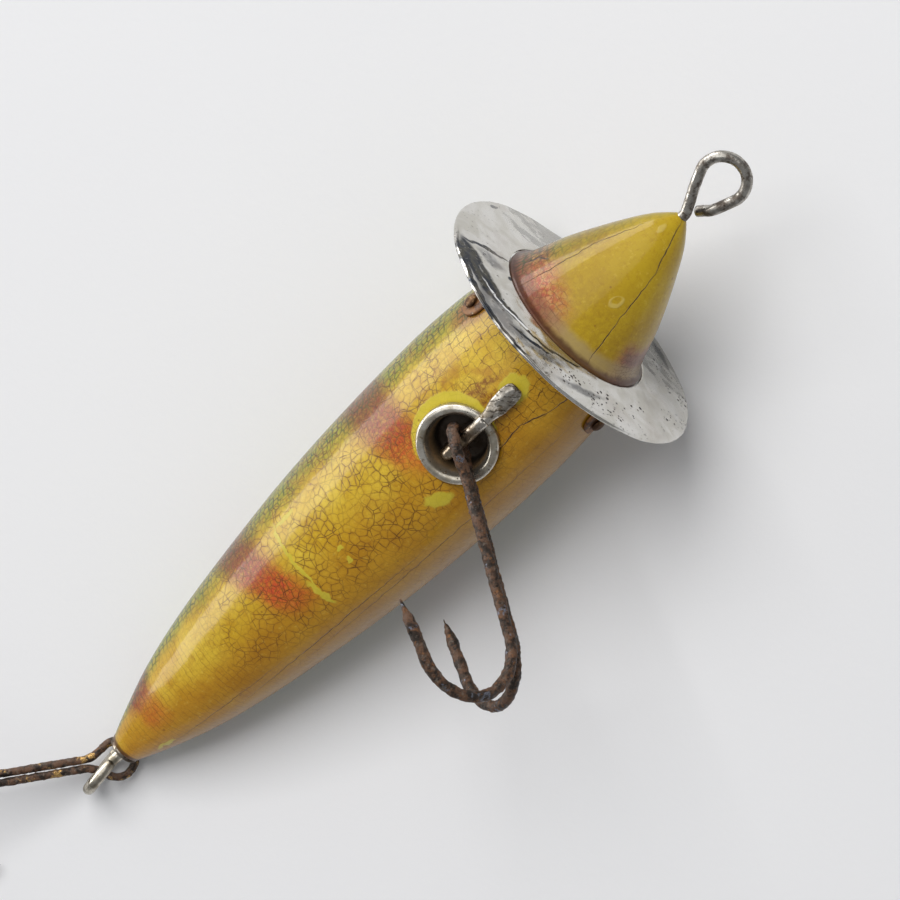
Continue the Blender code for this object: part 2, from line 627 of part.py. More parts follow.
make_wood(material("yellow_lacquer", (0.62, 0.40, 0.05), 0.25))
make_collar(material("polished_nickel", (0.72, 0.71, 0.68), 0.15, 1.0))
make_pins(material("dull_brass", (0.32, 0.2, 0.1), 0.5, 1.0))
make_cup(material("cup_nickel", (0.58, 0.56, 0.52), 0.25, 1.0))
make_hanger(material("hanger_nickel", (0.55, 0.5, 0.42), 0.3, 1.0))
make_line_tie(material("line_tie_nickel", (0.42, 0.4, 0.37), 0.35, 1.0))
make_washer(material("washer_nickel", (0.4, 0.36, 0.3), 0.45, 1.0))
make_tail_eye(material("tail_eye_nickel", (0.62, 0.58, 0.5), 0.25, 1.0))
make_belly_hook(material("belly_hook_rust", (0.16, 0.09, 0.06), 0.75, 0.3))
make_tail_hook(material("tail_hook_rust", (0.14, 0.08, 0.06), 0.75, 0.3))
stand_on_origin()
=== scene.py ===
"""The looks of the wooden surface plug: every visible piece, its finish, the light and the camera.

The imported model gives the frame. Each piece here is built in fine detail in the lure's own frame
(millimetres; X is the turning axis with the nose tip at 0, Z points out through the belly cup),
stands for one CAD node and rides on that node's body. "Station" is the distance back from the nose
tip, and an angle on the body is measured from the belly cup towards +Y.
"""
import json
import math
from functools import reduce
from operator import or_

import bmesh
import bpy
import numpy as np
from mathutils import Matrix, Vector, noise


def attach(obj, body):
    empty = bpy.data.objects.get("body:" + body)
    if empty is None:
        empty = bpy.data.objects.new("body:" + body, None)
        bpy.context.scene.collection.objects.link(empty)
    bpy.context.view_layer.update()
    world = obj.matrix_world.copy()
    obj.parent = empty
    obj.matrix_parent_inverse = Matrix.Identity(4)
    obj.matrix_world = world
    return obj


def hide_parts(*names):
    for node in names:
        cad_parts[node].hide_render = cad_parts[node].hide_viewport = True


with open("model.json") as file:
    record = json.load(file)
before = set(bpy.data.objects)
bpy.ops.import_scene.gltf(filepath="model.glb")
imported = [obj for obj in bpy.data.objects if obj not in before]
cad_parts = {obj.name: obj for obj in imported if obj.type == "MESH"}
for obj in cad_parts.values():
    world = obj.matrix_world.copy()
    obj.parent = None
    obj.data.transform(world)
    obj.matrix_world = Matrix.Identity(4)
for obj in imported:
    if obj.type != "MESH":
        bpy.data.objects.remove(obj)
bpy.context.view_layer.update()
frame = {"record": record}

MM = 0.001
MOUNTS = {mount["name"]: mount for mount in frame["record"]["mounts"]}

# ---- the lure's frame
ROLL = 10.0                       # the belly cup leans this far towards world -Y
NOSE_UP = 9.7948                  # the nose stands this much higher than the tail
LINE_TIE_CENTRE = Vector((5.65, -0.15, 0.0))      # the mount on the loop, in the lure's frame

TURN = (math.radians(ROLL), -math.radians(NOSE_UP), 0.0)
AXES = Matrix.Rotation(TURN[1], 4, "Y") @ Matrix.Rotation(TURN[0], 4, "X")
NOSE_TIP = Vector(MOUNTS["line_tie_eye"]["pos_m"]) - AXES @ (LINE_TIE_CENTRE * MM)
LURE = Matrix.Translation(NOSE_TIP) @ AXES

# ---- sizes, in millimetres and degrees, as the CAD has them
WOOD_LENGTH = 88.7
COLLAR_STATION = 16.0
COLLAR_HOLE_RADIUS = 9.25
COLLAR_RIM_RADIUS = 16.2
COLLAR_THICKNESS = 0.4
COLLAR_FLARE = 0.45
TAB_END_STATION = 22.6
TAB_HALF_WIDTH = 1.7
PIN_STATION = 21.1
PIN_ANGLES = (65.0, -65.0, 180.0)
PIN_SEAT = 10.08
CUP_STATION = 31.1
CUP_RADIUS = 4.35
CUP_FLOOR = 6.9
CUP_RIM = 10.55
HANGER_WIRE = 0.7
HANGER_LEG_STATION = 32.9
HANGER_BEND_RADIUS = 0.9
HANGER_CORNER_HEIGHT = 9.95
HANGER_RIM_STATION = 27.3
HANGER_RIM_HEIGHT = 11.35
PIVOT_STATION = 30.8
LINE_TIE_WIRE = 0.6
LINE_TIE_LOOP = 2.45
WASHER_RADIUS = 1.8
WASHER_THICKNESS = 0.5
TAIL_EYE_WIRE = 0.66
TAIL_EYE_RADIUS = 2.37
TAIL_EYE_STATION = 93.05
TAIL_EYE_YAW = 10.0


# ---- meshes
def add_object(name, data):
    made = bpy.data.objects.new(name, data)
    bpy.context.scene.collection.objects.link(made)
    return made


def add_shape(name, shape, look):
    """An object from the bmesh, shaded smooth."""
    mesh = bpy.data.meshes.new(name)
    shape.to_mesh(mesh)
    shape.free()
    mesh.materials.append(look)
    mesh.shade_smooth()
    return add_object(name, mesh)


def skin(name, rings, look, matrix=None, loop=False):
    """A closed mesh over rings of points in mm; a loop joins the last ring to the first."""
    rings = np.asarray(rings, float)
    count, around, _ = rings.shape
    to_world = LURE @ (matrix or Matrix.Identity(4))
    turn = np.array(to_world.to_3x3())
    points = (rings.reshape(-1, 3) * MM) @ turn.T + np.array(to_world.translation)
    faces = []
    for row in range(count if loop else count - 1):
        this, after = row * around, (row + 1) % count * around
        for column in range(around):
            beside = (column + 1) % around
            faces.append((this + column, this + beside, after + beside, after + column))
    if not loop:
        faces.append(tuple(range(around)))
        faces.append(tuple(range((count - 1) * around, count * around)))
    bare = bpy.data.meshes.new("bare")
    bare.from_pydata(points.tolist(), [], faces)
    shape = bmesh.new()
    shape.from_mesh(bare)
    bpy.data.meshes.remove(bare)
    bmesh.ops.recalc_face_normals(shape, faces=shape.faces)
    return add_shape(name, shape, look)


def join(name, pieces):
    """The same shapes as one object."""
    shape = bmesh.new()
    for piece in pieces:
        shape.from_mesh(piece.data)
    look = pieces[0].data.materials[0]
    for piece in pieces:
        bpy.data.objects.remove(piece)
    return add_shape(name, shape, look)


def stand_for(piece, node, body="lure"):
    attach(piece, body)
    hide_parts(node)


def circle(steps):
    return [2 * math.pi * step / steps for step in range(steps)]


def lathe(profile, steps):
    """Rings round the local Z axis from (radius, height) pairs."""
    return [[(radius * math.cos(a), radius * math.sin(a), height) for a in circle(steps)]
            for radius, height in profile]


def radial(angle, station, radius):
    """A frame on the body: its Z axis points out of the wood at this angle from the cup."""
    spin = Matrix.Rotation(-math.radians(angle), 4, "X")
    return spin @ Matrix.Translation(Vector((-station, 0, radius)) * MM)


def arc(centre, radii, start, end, steps):
    angles = [math.radians(start + (end - start) * i / steps) for i in range(steps + 1)]
    return [(centre[0] + radii[0] * math.cos(a), centre[1] + radii[1] * math.sin(a))
            for a in angles]


def smooth_outline(knots, spacing):
    """A smooth curve through (station, radius) knots, by cubic segments with matched slopes."""
    slopes = []
    for i in range(len(knots)):
        before, after = knots[max(i - 1, 0)], knots[min(i + 1, len(knots) - 1)]
        slopes.append((after[1] - before[1]) / (after[0] - before[0]))
    outline = []
    for i in range(len(knots) - 1):
        (x0, y0), (x1, y1) = knots[i], knots[i + 1]
        width = x1 - x0
        count = max(1, round(width / spacing))
        for step in range(count):
            t = step / count
            rise = (2 * t**3 - 3 * t**2 + 1) * y0 + (3 * t**2 - 2 * t**3) * y1
            lean = (t**3 - 2 * t**2 + t) * slopes[i] + (t**3 - t**2) * slopes[i + 1]
            outline.append((x0 + width * t, rise + lean * width))
    outline.append(knots[-1])
    return outline


def smooth_path(knots, spacing):
    """Points through knots of any length (x, y, z and what goes with them), by Catmull-Rom."""
    knots = np.asarray(knots, float)
    padded = np.vstack([2 * knots[0] - knots[1], knots, 2 * knots[-1] - knots[-2]])
    path = []
    for i in range(len(knots) - 1):
        a, b, c, d = padded[i:i + 4]
        count = max(1, round(np.linalg.norm((c - b)[:3]) / spacing))
        for step in range(count):
            t = step / count
            path.append(0.5 * (2 * b + (c - a) * t + (2 * a - 5 * b + 4 * c - d) * t**2
                               + (3 * b - a - 3 * c + d) * t**3))
    path.append(knots[-1])
    return np.array(path)


def sweep(path, radii, sides):
    """Rings of a round wire along a path, carried along without twisting."""
    points = [Vector(point) for point in path]
    tangents = [(points[min(i + 1, len(points) - 1)] - points[max(i - 1, 0)]).normalized()
                for i in range(len(points))]
    across = tangents[0].orthogonal().normalized()
    rings = []
    for point, tangent, radius in zip(points, tangents, radii):
        across = (across - tangent * across.dot(tangent)).normalized()
        up = tangent.cross(across)
        rings.append([tuple(point + (across * math.cos(a) + up * math.sin(a)) * radius)
                      for a in circle(sides)])
    return rings


def roughen(rings, amounts):
    """Pushes each point to or from its ring's centre by layers of (depth in mm, grain in mm)."""
    rough = []
    for ring in rings:
        centre = sum((Vector(point) for point in ring), Vector()) / len(ring)
        moved = []
        for point in ring:
            place = Vector(point)
            out = (place - centre).normalized()
            for depth, grain in amounts:
                place = place + out * depth * noise.noise(Vector(point) / grain)
            moved.append(tuple(place))
        rough.append(moved)
    return rough


# ---- finishes, as node materials
def srgb(colour):
    """A colour in display values from 0 to 255, as the linear values that a shader takes."""
    def linear(value):
        share = value / 255
        return share / 12.92 if share <= 0.04045 else ((share + 0.055) / 1.055) ** 2.4
    return (*map(linear, colour), 1.0)


class Value:
    """A node's output. Values multiply and add; on masks, | means either one and ~ means not."""

    def __init__(self, look, socket):
        self.look, self.socket = look, socket

    def math(self, operation, *others):
        return self.look.math(operation, self, *others)

    def __mul__(self, other):
        return self.math("MULTIPLY", other)

    def __add__(self, other):
        return self.math("ADD", other)

    def __sub__(self, other):
        return self.math("SUBTRACT", other)

    def __or__(self, other):
        return self.math("MAXIMUM", other)

    def __invert__(self):
        return self.look.math("SUBTRACT", 1.0, self)

    __rmul__ = __mul__

    def ramp(self, low, high, bottom=0.0, top=1.0):
        """Rises smoothly from bottom at low to top at high; low may be the larger."""
        return self.look.node("ShaderNodeMapRange",
                              {"Value": self, "From Min": low, "From Max": high,
                               "To Min": bottom, "To Max": top}, interpolation_type="SMOOTHSTEP")

    def swing(self, grain, amount, shift=0.0):
        """The value, moved to and fro by noise of this grain, by up to half the amount."""
        return self + (self.look.noise(grain, shift=shift) - 0.5) * amount

    def lines(self, spacing, half_width):
        """A mask over thin lines where the value, in mm, passes each step of the spacing."""
        wave = (self * (math.pi / spacing)).math("SINE").math("ABSOLUTE")
        reach = math.pi * half_width / spacing
        return wave.ramp(reach, reach * 0.25)

    def painted(self, mask, colour):
        """This colour with another laid over it where the mask is."""
        return self.look.mix(mask, self, colour)


class Look:
    """A material written as expressions: each method adds nodes and returns their value."""

    def __init__(self, name):
        self.material = bpy.data.materials.new(name)
        self.material.use_nodes = True
        self.tree = self.material.node_tree
        self.shader = self.tree.nodes["Principled BSDF"]
        # places in the lure's frame, in mm
        self.place = self.mapping(self.node("ShaderNodeTexCoord", output="Object"), NOSE_TIP,
                                  (MM, MM, MM), TURN, "TEXTURE")
        parts = self.tree.nodes.new("ShaderNodeSeparateXYZ")
        self.feed(parts.inputs[0], self.place)
        self.x, self.y, self.z = [Value(self, part) for part in parts.outputs]
        self.station = self.x * -1.0
        self.angle = self.y.math("ARCTAN2", self.z).math("DEGREES")
        self.radius = (self.y * self.y + self.z * self.z).math("SQRT")
        self.arc = self.angle.math("RADIANS") * self.radius

    def feed(self, socket, value):
        if isinstance(value, Value):
            self.tree.links.new(value.socket, socket)
        else:
            socket.default_value = value

    def node(self, kind, inputs=None, output=0, **settings):
        made = self.tree.nodes.new(kind)
        for setting, value in settings.items():
            setattr(made, setting, value)
        for socket, value in (inputs or {}).items():
            self.feed(made.inputs[socket], value)
        return Value(self, made.outputs[output])

    def math(self, operation, *values):
        return self.node("ShaderNodeMath", dict(enumerate(values)), operation=operation)

    def mapping(self, vector, location=(0, 0, 0), scale=(1, 1, 1), turn=(0, 0, 0), kind="POINT"):
        return self.node("ShaderNodeMapping", {"Vector": vector, "Location": location,
                                               "Rotation": turn, "Scale": scale},
                         vector_type=kind)

    def mix(self, share, first, second):
        """A colour between two, which are values or display values from 0 to 255."""
        first, second = [srgb(colour) if isinstance(colour, tuple) else colour
                         for colour in (first, second)]
        return self.node("ShaderNodeMix", {0: share, 6: first, 7: second}, output=2,
                         data_type="RGBA")

    def noise(self, grain, detail=2.0, roughness=0.5, stretch=(1, 1, 1), shift=0.0,
              distortion=0.0):
        """Noise from 0 to 1 whose features are about this many mm, stretched along the axes."""
        spot = self.mapping(self.place, (shift, shift, shift),
                            [1 / (grain * share) for share in stretch])
        return self.node("ShaderNodeTexNoise", {"Vector": spot, "Scale": 1.0, "Detail": detail,
                                                "Roughness": roughness,
                                                "Distortion": distortion})

    def sheet(self, grain, amount, shift=0.0):
        """Station and arc round the body as flat coordinates, with noise in them."""
        return self.node("ShaderNodeCombineXYZ", {0: self.station.swing(grain, amount, shift),
                                                  1: self.arc.swing(grain, amount, shift + 7.0)})

    def patch(self, sheet, station, arc, half_length, half_width, turn=0.0, soft=0.35):
        """A mask over an oval on the sheet."""
        spot = self.mapping(sheet, (station, arc, 0.0), (half_length, half_width, 1.0),
                            (0.0, 0.0, math.radians(turn)), "TEXTURE")
        distance = self.node("ShaderNodeVectorMath", {0: spot}, output=1, operation="LENGTH")
        return distance.ramp(1.0 + soft, 1.0 - soft)

    def patches(self, sheet, soft, places):
        """A mask over several ovals, each (place, place, half size, half size, turn)."""
        return reduce(or_, [self.patch(sheet, *place, soft=soft) for place in places])

    def hairline(self, sheet, start, end, half_width):
        """A mask along a thin crack from start to end, given as (station, arc)."""
        along, aside = end[0] - start[0], end[1] - start[1]
        return self.patch(sheet, (start[0] + end[0]) / 2, (start[1] + end[1]) / 2,
                          math.hypot(along, aside) / 2, half_width,
                          math.degrees(math.atan2(aside, along)), soft=0.6)

    def cells(self, size, half_width, wobble=0.5, randomness=0.85):
        """A mask over the crack lines between cells of this size, drawn round the body."""
        spot = self.mapping(self.sheet(size * 1.5, wobble, shift=size),
                            scale=(1 / size, 1 / size, 1.0))
        edge = self.node("ShaderNodeTexVoronoi", {"Vector": spot, "Scale": 1.0,
                                                  "Randomness": randomness},
                         feature="DISTANCE_TO_EDGE", voronoi_dimensions="2D")
        return edge.ramp(half_width / size, half_width * 0.25 / size)

    def pits(self, spacing, radius, spread, shift=0.0):
        """A mask over round pits, about spacing apart, that differ in size by the spread."""
        edge = 0.03
        texture = self.tree.nodes.new("ShaderNodeTexVoronoi")
        self.feed(texture.inputs["Vector"], self.mapping(self.place, (shift, shift, shift)))
        texture.inputs["Scale"].default_value = 1 / spacing
        distance = Value(self, texture.outputs["Distance"]) * spacing
        chance = self.node("ShaderNodeSeparateColor", {0: Value(self, texture.outputs["Color"])})
        size = chance * spread + (radius - spread)
        return (distance - size).ramp(edge, -edge)

    def finish(self, height, **sockets):
        """Sets the shader's sockets (names with _ for spaces); height is relief in mm."""
        for socket, value in sockets.items():
            self.feed(self.shader.inputs[socket.replace("_", " ")], value)
        normal = self.node("ShaderNodeBump", {"Height": height, "Distance": MM, "Strength": 1.0})
        self.feed(self.shader.inputs["Normal"], normal)
        if "Coat_Weight" in sockets:
            self.feed(self.shader.inputs["Coat Normal"], normal)
        return self.material


# the painted wood: places are (station, arc) in mm, and angles are degrees from the cup
LEMON_DABS = ((37.2, -2.9, 1.6, 0.8, 30.0), (54.3, 3.4, 0.22, 4.6), (54.6, -1.5, 0.4, 1.9, -6.0),
              (52.6, 7.3, 1.4, 0.3), (49.0, 0.6, 0.35, 0.3), (49.3, -0.9, 0.3, 0.3),
              (83.4, -2.7, 1.4, 0.3, 10.0))
LONG_CRACKS = (((15.4, -3.4), (10.6, -2.7), 0.06), ((11.0, -2.75), (5.2, -2.1), 0.06),
               ((5.6, -2.15), (0.4, -0.2), 0.06), ((14.8, 7.5), (8.0, 5.4), 0.05),
               ((8.4, 5.55), (3.2, 2.9), 0.03), ((28.8, -3.6), (24.6, -3.1), 0.08),
               ((25.2, -3.1), (22.2, -4.4), 0.09), ((22.8, -4.3), (17.0, -5.1), 0.06),
               ((31.0, -3.9), (28.2, -3.5), 0.04), ((45.0, -6.2), (70.0, -5.3), 0.045),
               ((26.0, -7.8), (60.0, -6.8), 0.04), ((66.0, -4.4), (84.0, -3.0), 0.03),
               ((14.9, 10.6), (13.0, 9.7), 0.14), ((13.4, 9.9), (12.4, 8.2), 0.09))


def yellow_ground(look, head, shaded_flank):
    """Yellow with painted light and shade: brighter towards the back on the lit +Y side, browner
    below and darker on the shaded -Y flank; browner at the tail, lemon on the head.
    """
    # painted light and shade: the yellow runs from shaded brown on the -Y side to lit bright
    # yellow on the +Y side
    side = look.angle.swing(5.0, 26.0, 13.0).ramp(-12.0, 30.0)
    bright = look.mix(look.noise(5.0, 4.0).ramp(0.3, 0.7), (196, 158, 30), (214, 184, 58))
    brown = look.mix(look.noise(5.0, 4.0, shift=4.0).ramp(0.3, 0.7), (174, 122, 20),
                     (192, 144, 32))
    cloud = look.noise(1.8, 5.0, 0.65).ramp(0.5, 0.75, 0.0, 0.5)
    colour = look.mix(side, brown, bright).painted(cloud, (160, 106, 18))
    lemon = look.mix(look.noise(4.0, 4.0, shift=3.0), (192, 164, 32), (166, 132, 26))
    warm_tail = look.station.swing(5.0, 8.0, 6.0).ramp(68.0, 88.0, 0.0, 0.5)
    colour = colour.painted(head, lemon).painted(warm_tail, (196, 134, 32))
    dark_mottle = look.noise(0.45, 5.0, 0.75, shift=31.0).ramp(0.48, 0.68)
    colour = colour.painted(dark_mottle * 0.3, (140, 92, 18))
    pale_mottle = look.noise(0.6, 4.0, 0.7, shift=37.0).ramp(0.56, 0.7)
    colour = colour.painted(pale_mottle * 0.22, (226, 200, 90))
    # painted shade: the -Y flank, turned from the light, darkened further
    colour = colour.painted(shaded_flank * 0.75, (154, 110, 14))
    shoulder = look.station.swing(3.0, 4.0, 41.0).ramp(6.0, 12.0) * 0.5
    upper = look.angle.swing(3.0, 24.0).ramp(34.0, 62.0) * look.station.ramp(3.0, 8.0)
    soot = look.noise(0.6, 5.0, 0.75, shift=43.0).ramp(0.36, 0.62, 0.25, 1.0)
    return colour.painted((shoulder | upper) * head * soot * 0.75, (132, 92, 26))


def bar(look, centre, lean, half_width, tip, far_tip):
    """A sprayed bar over the back: its station drifts by lean mm per degree; tips in degrees."""
    middle = look.angle * lean + centre
    away = (look.station.swing(2.2, 1.6, centre) - middle).math("ABSOLUTE")
    width = look.angle.ramp(tip - 5.0, tip + 60.0, half_width * 0.75, half_width)
    angle = look.angle.swing(3.0, 14.0, centre + 3.0)
    reach = angle.ramp(tip - 14.0, tip + 22.0) | angle.ramp(far_tip + 10.0, far_tip - 14.0)
    return away.math("DIVIDE", width).ramp(1.4, 0.4) * reach


def paint_bars(look, colour, head):
    """The colour with four red bars on it, and where they are."""
    head_bar = bar(look, 14.6, 0.0, 2.9, 12.0, -44.0)
    tail_bar = bar(look, 80.9, 0.01, 2.4, -6.0, -98.0) * look.angle.ramp(20.0, 55.0, 0.5, 1.0)
    red = (head_bar | bar(look, 34.3, 0.055, 3.3, 4.0, -98.0)
           | bar(look, 57.4, 0.055, 2.9, -8.0, -98.0) | tail_bar)
    body_red = look.mix(look.angle.ramp(5.0, 58.0), (198, 60, 42), (122, 32, 28))
    head_red = look.mix(look.angle.ramp(58.0, 82.0), (168, 68, 52), (104, 48, 30))
    worn = look.noise(0.55, 4.0, 0.7, shift=6.0).ramp(0.42, 0.6)
    paint = body_red.painted(head, head_red).painted(head * worn, (186, 128, 84))
    speckle = look.noise(0.5, 3.0, 0.6).ramp(0.3, 0.62, 0.62, 1.0)
    colour = colour.painted(red * speckle * 0.9, paint)
    purple = head_bar * look.angle.ramp(-34.0, -54.0)
    return colour.painted(purple * 0.85, (116, 80, 68)), red


def crackle(look, head, shaded_flank, back, red, unpainted):
    """Masks: open cracks, the haloes round them, a faint net, red's fine cells and scales.

    The cracks are squares near the collar and rounder cells behind, the net is at both ends.
    """
    squares = (look.station.swing(1.3, 1.3).lines(1.05, 0.07)
               | look.arc.swing(1.3, 1.2, 9.0).lines(1.1, 0.07) | look.cells(0.8, 0.05) * 0.4)
    round_cells = look.cells(0.95, 0.055, 0.6) | look.cells(2.3, 0.07, 1.4, 1.0)
    square_zone = look.station.swing(4.0, 6.0).ramp(32.0, 27.0) * ~head
    round_zone = (look.station.swing(4.0, 6.0).ramp(24.0, 29.0)
                  * look.station.swing(5.0, 12.0).ramp(76.0, 60.0))
    patchy = (look.noise(2.6, 5.0, 0.6, shift=11.0).ramp(0.36, 0.6, 0.3, 1.0) * unpainted
              * look.angle.swing(4.0, 24.0).ramp(-34.0, -10.0, 0.3, 1.0))
    cracks = ((squares * square_zone | round_cells * round_zone) * patchy
              * look.noise(0.8, 3.0, shift=17.0).ramp(0.3, 0.55, 0.45, 1.0))
    halo = look.cells(0.95, 0.26, 0.6) * patchy * round_zone

    across = look.station.swing(1.0, 0.7).lines(0.66, 0.08)
    along = look.arc.swing(1.0, 0.7).lines(0.95, 0.08)
    net = ((across | along * 0.45) * unpainted
           * look.noise(2.0, 4.0, shift=21.0).ramp(0.36, 0.6, 0.2, 1.0))
    faint_net = net * (look.station.ramp(62.0, 72.0) * 0.42 | shaded_flank * 0.3 | head * 0.07)
    fine_cells = look.cells(0.6, 0.045, 0.35) * (red | ~head * 0.16)
    scales = (look.cells(0.85, 0.17, 0.45, 0.5) * back * unpainted
              * look.noise(1.6, 3.0, shift=23.0).ramp(0.35, 0.55, 0.35, 0.9))
    return cracks, halo, net * red, faint_net, fine_cells, scales


def stains(look, colour, sheet, unpainted):
    """Painted shade in the crease at the collar and the gap at the tail washer, flecks, and brown
    stains by the hanger's foot and the cup.
    """
    # painted shade: dark bands in the gap at the tail washer and in the crease where the wood
    # meets the collar
    tail_gap_shade = look.station.swing(1.0, 0.3).ramp(88.0, 88.35)
    collar_crease_shade = look.station.swing(1.0, 0.5).ramp(15.25, 15.8) * look.station.ramp(16.5, 16.3)
    colour = colour.painted((tail_gap_shade | collar_crease_shade) * 0.85, (70, 36, 24))
    colour = colour.painted(look.pits(1.7, 0.16, 0.16) * 0.55, (124, 78, 26))
    foot_stain = (look.patch(sheet, 24.8, 2.5, 2.3, 0.5, 8.0)
                  | look.patch(sheet, 25.4, 1.4, 0.9, 0.9))
    foot_stain *= unpainted * look.noise(0.5, 4.0, 0.7).ramp(0.35, 0.6)
    colour = colour.painted(foot_stain * 0.85, (112, 58, 22))
    cup_stain = look.patch(look.sheet(1.5, 1.2), CUP_STATION - 3.0, 2.6, 6.4, 5.2, soft=0.25)
    cup_stain *= unpainted * look.noise(1.6, 4.0).ramp(0.45, 0.7, 0.0, 0.5)
    return colour.painted(cup_stain, (150, 86, 28))


def lacquer():
    """Old sprayed paint under amber varnish: yellow, green back, red bars, fine crackle."""
    look = Look("yellow_lacquer")
    head = look.station.ramp(16.2, 15.6)
    # the -Y flank, which is in shade; yellow_ground paints shade on it
    shaded_flank = look.angle.swing(5.0, 20.0).ramp(-24.0, -60.0) * ~head
    back = (look.angle.swing(3.0, 26.0).ramp(46.0, 74.0)
            | look.angle.swing(3.0, 26.0, 5.0).ramp(-92.0, -112.0))
    back *= look.station.ramp(9.0, 15.0, 0.25, 1.0)
    green_share = look.noise(1.1, 3.0, 0.6).ramp(0.35, 0.6, 0.5, 1.0)
    colour = yellow_ground(look, head, shaded_flank).painted(back * green_share, (138, 144, 8))
    colour, red = paint_bars(look, colour, head)
    # painted shade and reflection at the head's base edge next to the collar: red-brown on the +Y
    # side, grey-beige below
    lip_shade = look.station.swing(1.6, 0.8).ramp(13.9, 14.8) * head
    lip_shade_colour = look.mix(look.angle.swing(3.0, 20.0).ramp(-4.0, 26.0), (162, 142, 100),
                         (112, 62, 46))
    colour = colour.painted(lip_shade * 0.7, lip_shade_colour)

    # bare wood at the upper tab, and lemon touch-up paint at the foot, the cup and in dabs
    sheet = look.sheet(0.9, 1.0)
    colour = colour.painted(look.patch(sheet, 21.0, 10.9, 3.4, 2.6) * 0.85, (150, 92, 44))
    lemon = (look.patch(sheet, 22.6, 0.1, 1.7, 1.5, soft=0.12)
             | look.patches(sheet, 0.22, LEMON_DABS)
             | look.patch(look.sheet(1.2, 0.5, shift=3.0), 30.8, 0.95, 4.6, 4.6, soft=0.03))
    lemon_paint = look.mix(look.noise(0.8, 3.0), (190, 174, 44), (206, 188, 66))
    colour = colour.painted(lemon * 0.9, lemon_paint)

    cracks, halo, red_net, faint_net, fine_cells, scales = crackle(look, head, shaded_flank, back, red,
                                                                   ~lemon)
    split_sheet = look.sheet(1.1, 0.5, shift=2.0)
    split = reduce(or_, [look.hairline(split_sheet, *crack) for crack in LONG_CRACKS])
    for mask, paint in (
            (faint_net, (120, 76, 26)), (scales, (26, 60, 6)), (red_net * 0.4, (60, 34, 22)),
            (fine_cells * 0.65, (88, 50, 28)), (halo * 0.3, (150, 96, 24)),
            (cracks * 0.88, (78, 46, 16)), (split * 0.9, (54, 36, 20))):
        colour = colour.painted(mask, paint)
    colour = stains(look, colour, sheet, ~lemon)

    # blisters on the head, one of them broken open
    blister_sheet = look.sheet(0.8, 0.3)
    blister = (look.patch(blister_sheet, 9.5, -1.1, 0.8, 0.55, 30.0, soft=0.15)
               * ~look.patch(blister_sheet, 9.35, -1.0, 0.55, 0.32, 30.0, soft=0.3)
               | look.patch(blister_sheet, 1.9, 0.8, 0.5, 0.3, 10.0))
    colour = colour.painted(blister * 0.3, (222, 206, 130))

    height = (cracks * -0.006 + split * -0.04 + look.noise(3.2, 3.0) * 0.05
              + look.noise(0.45) * 0.0035 + lemon * 0.015 + blister * 0.03)
    roughness = (look.noise(1.0, 4.0) * 0.6 + cracks * 0.5).ramp(0.2, 0.8, 0.3, 0.55)
    return look.finish(height, Base_Color=colour, Roughness=roughness, Specular_IOR_Level=0.15,
                       Coat_Weight=0.5, Coat_Roughness=0.1, Coat_IOR=1.4)


# the collar's painted reflections, highlights and shadow line: places are (arc at its middle
# radius, radius) in mm
GREY_REFLECTION_STREAKS = ((0.5, 12.8, 3.0, 0.7, 30.0), (-33.0, 14.6, 2.4, 0.8), (-4.5, 13.6, 3.2, 0.5, 20.0),
                (15.6, 11.6, 1.6, 1.2, 60.0))
DARK_REFLECTION_STREAKS = ((7.8, 13.1, 3.4, 0.6, 22.0), (9.0, 15.9, 8.0, 0.3), (0.3, 11.1, 4.9, 0.2, 17.0),
                (17.4, 12.5, 0.3, 3.2, 12.0), (2.6, 12.9, 2.8, 0.28, 28.0),
                (-32.4, 14.8, 1.8, 0.5), (27.5, 15.3, 0.5, 0.25), (13.4, 9.6, 0.5, 0.35))
BRIGHT_HIGHLIGHT_STREAKS = ((5.6, 12.4, 3.6, 0.16, 22.0), (9.0, 13.6, 2.0, 0.12, 10.0))
COLLAR_MIDDLE_RADIUS = 13.5


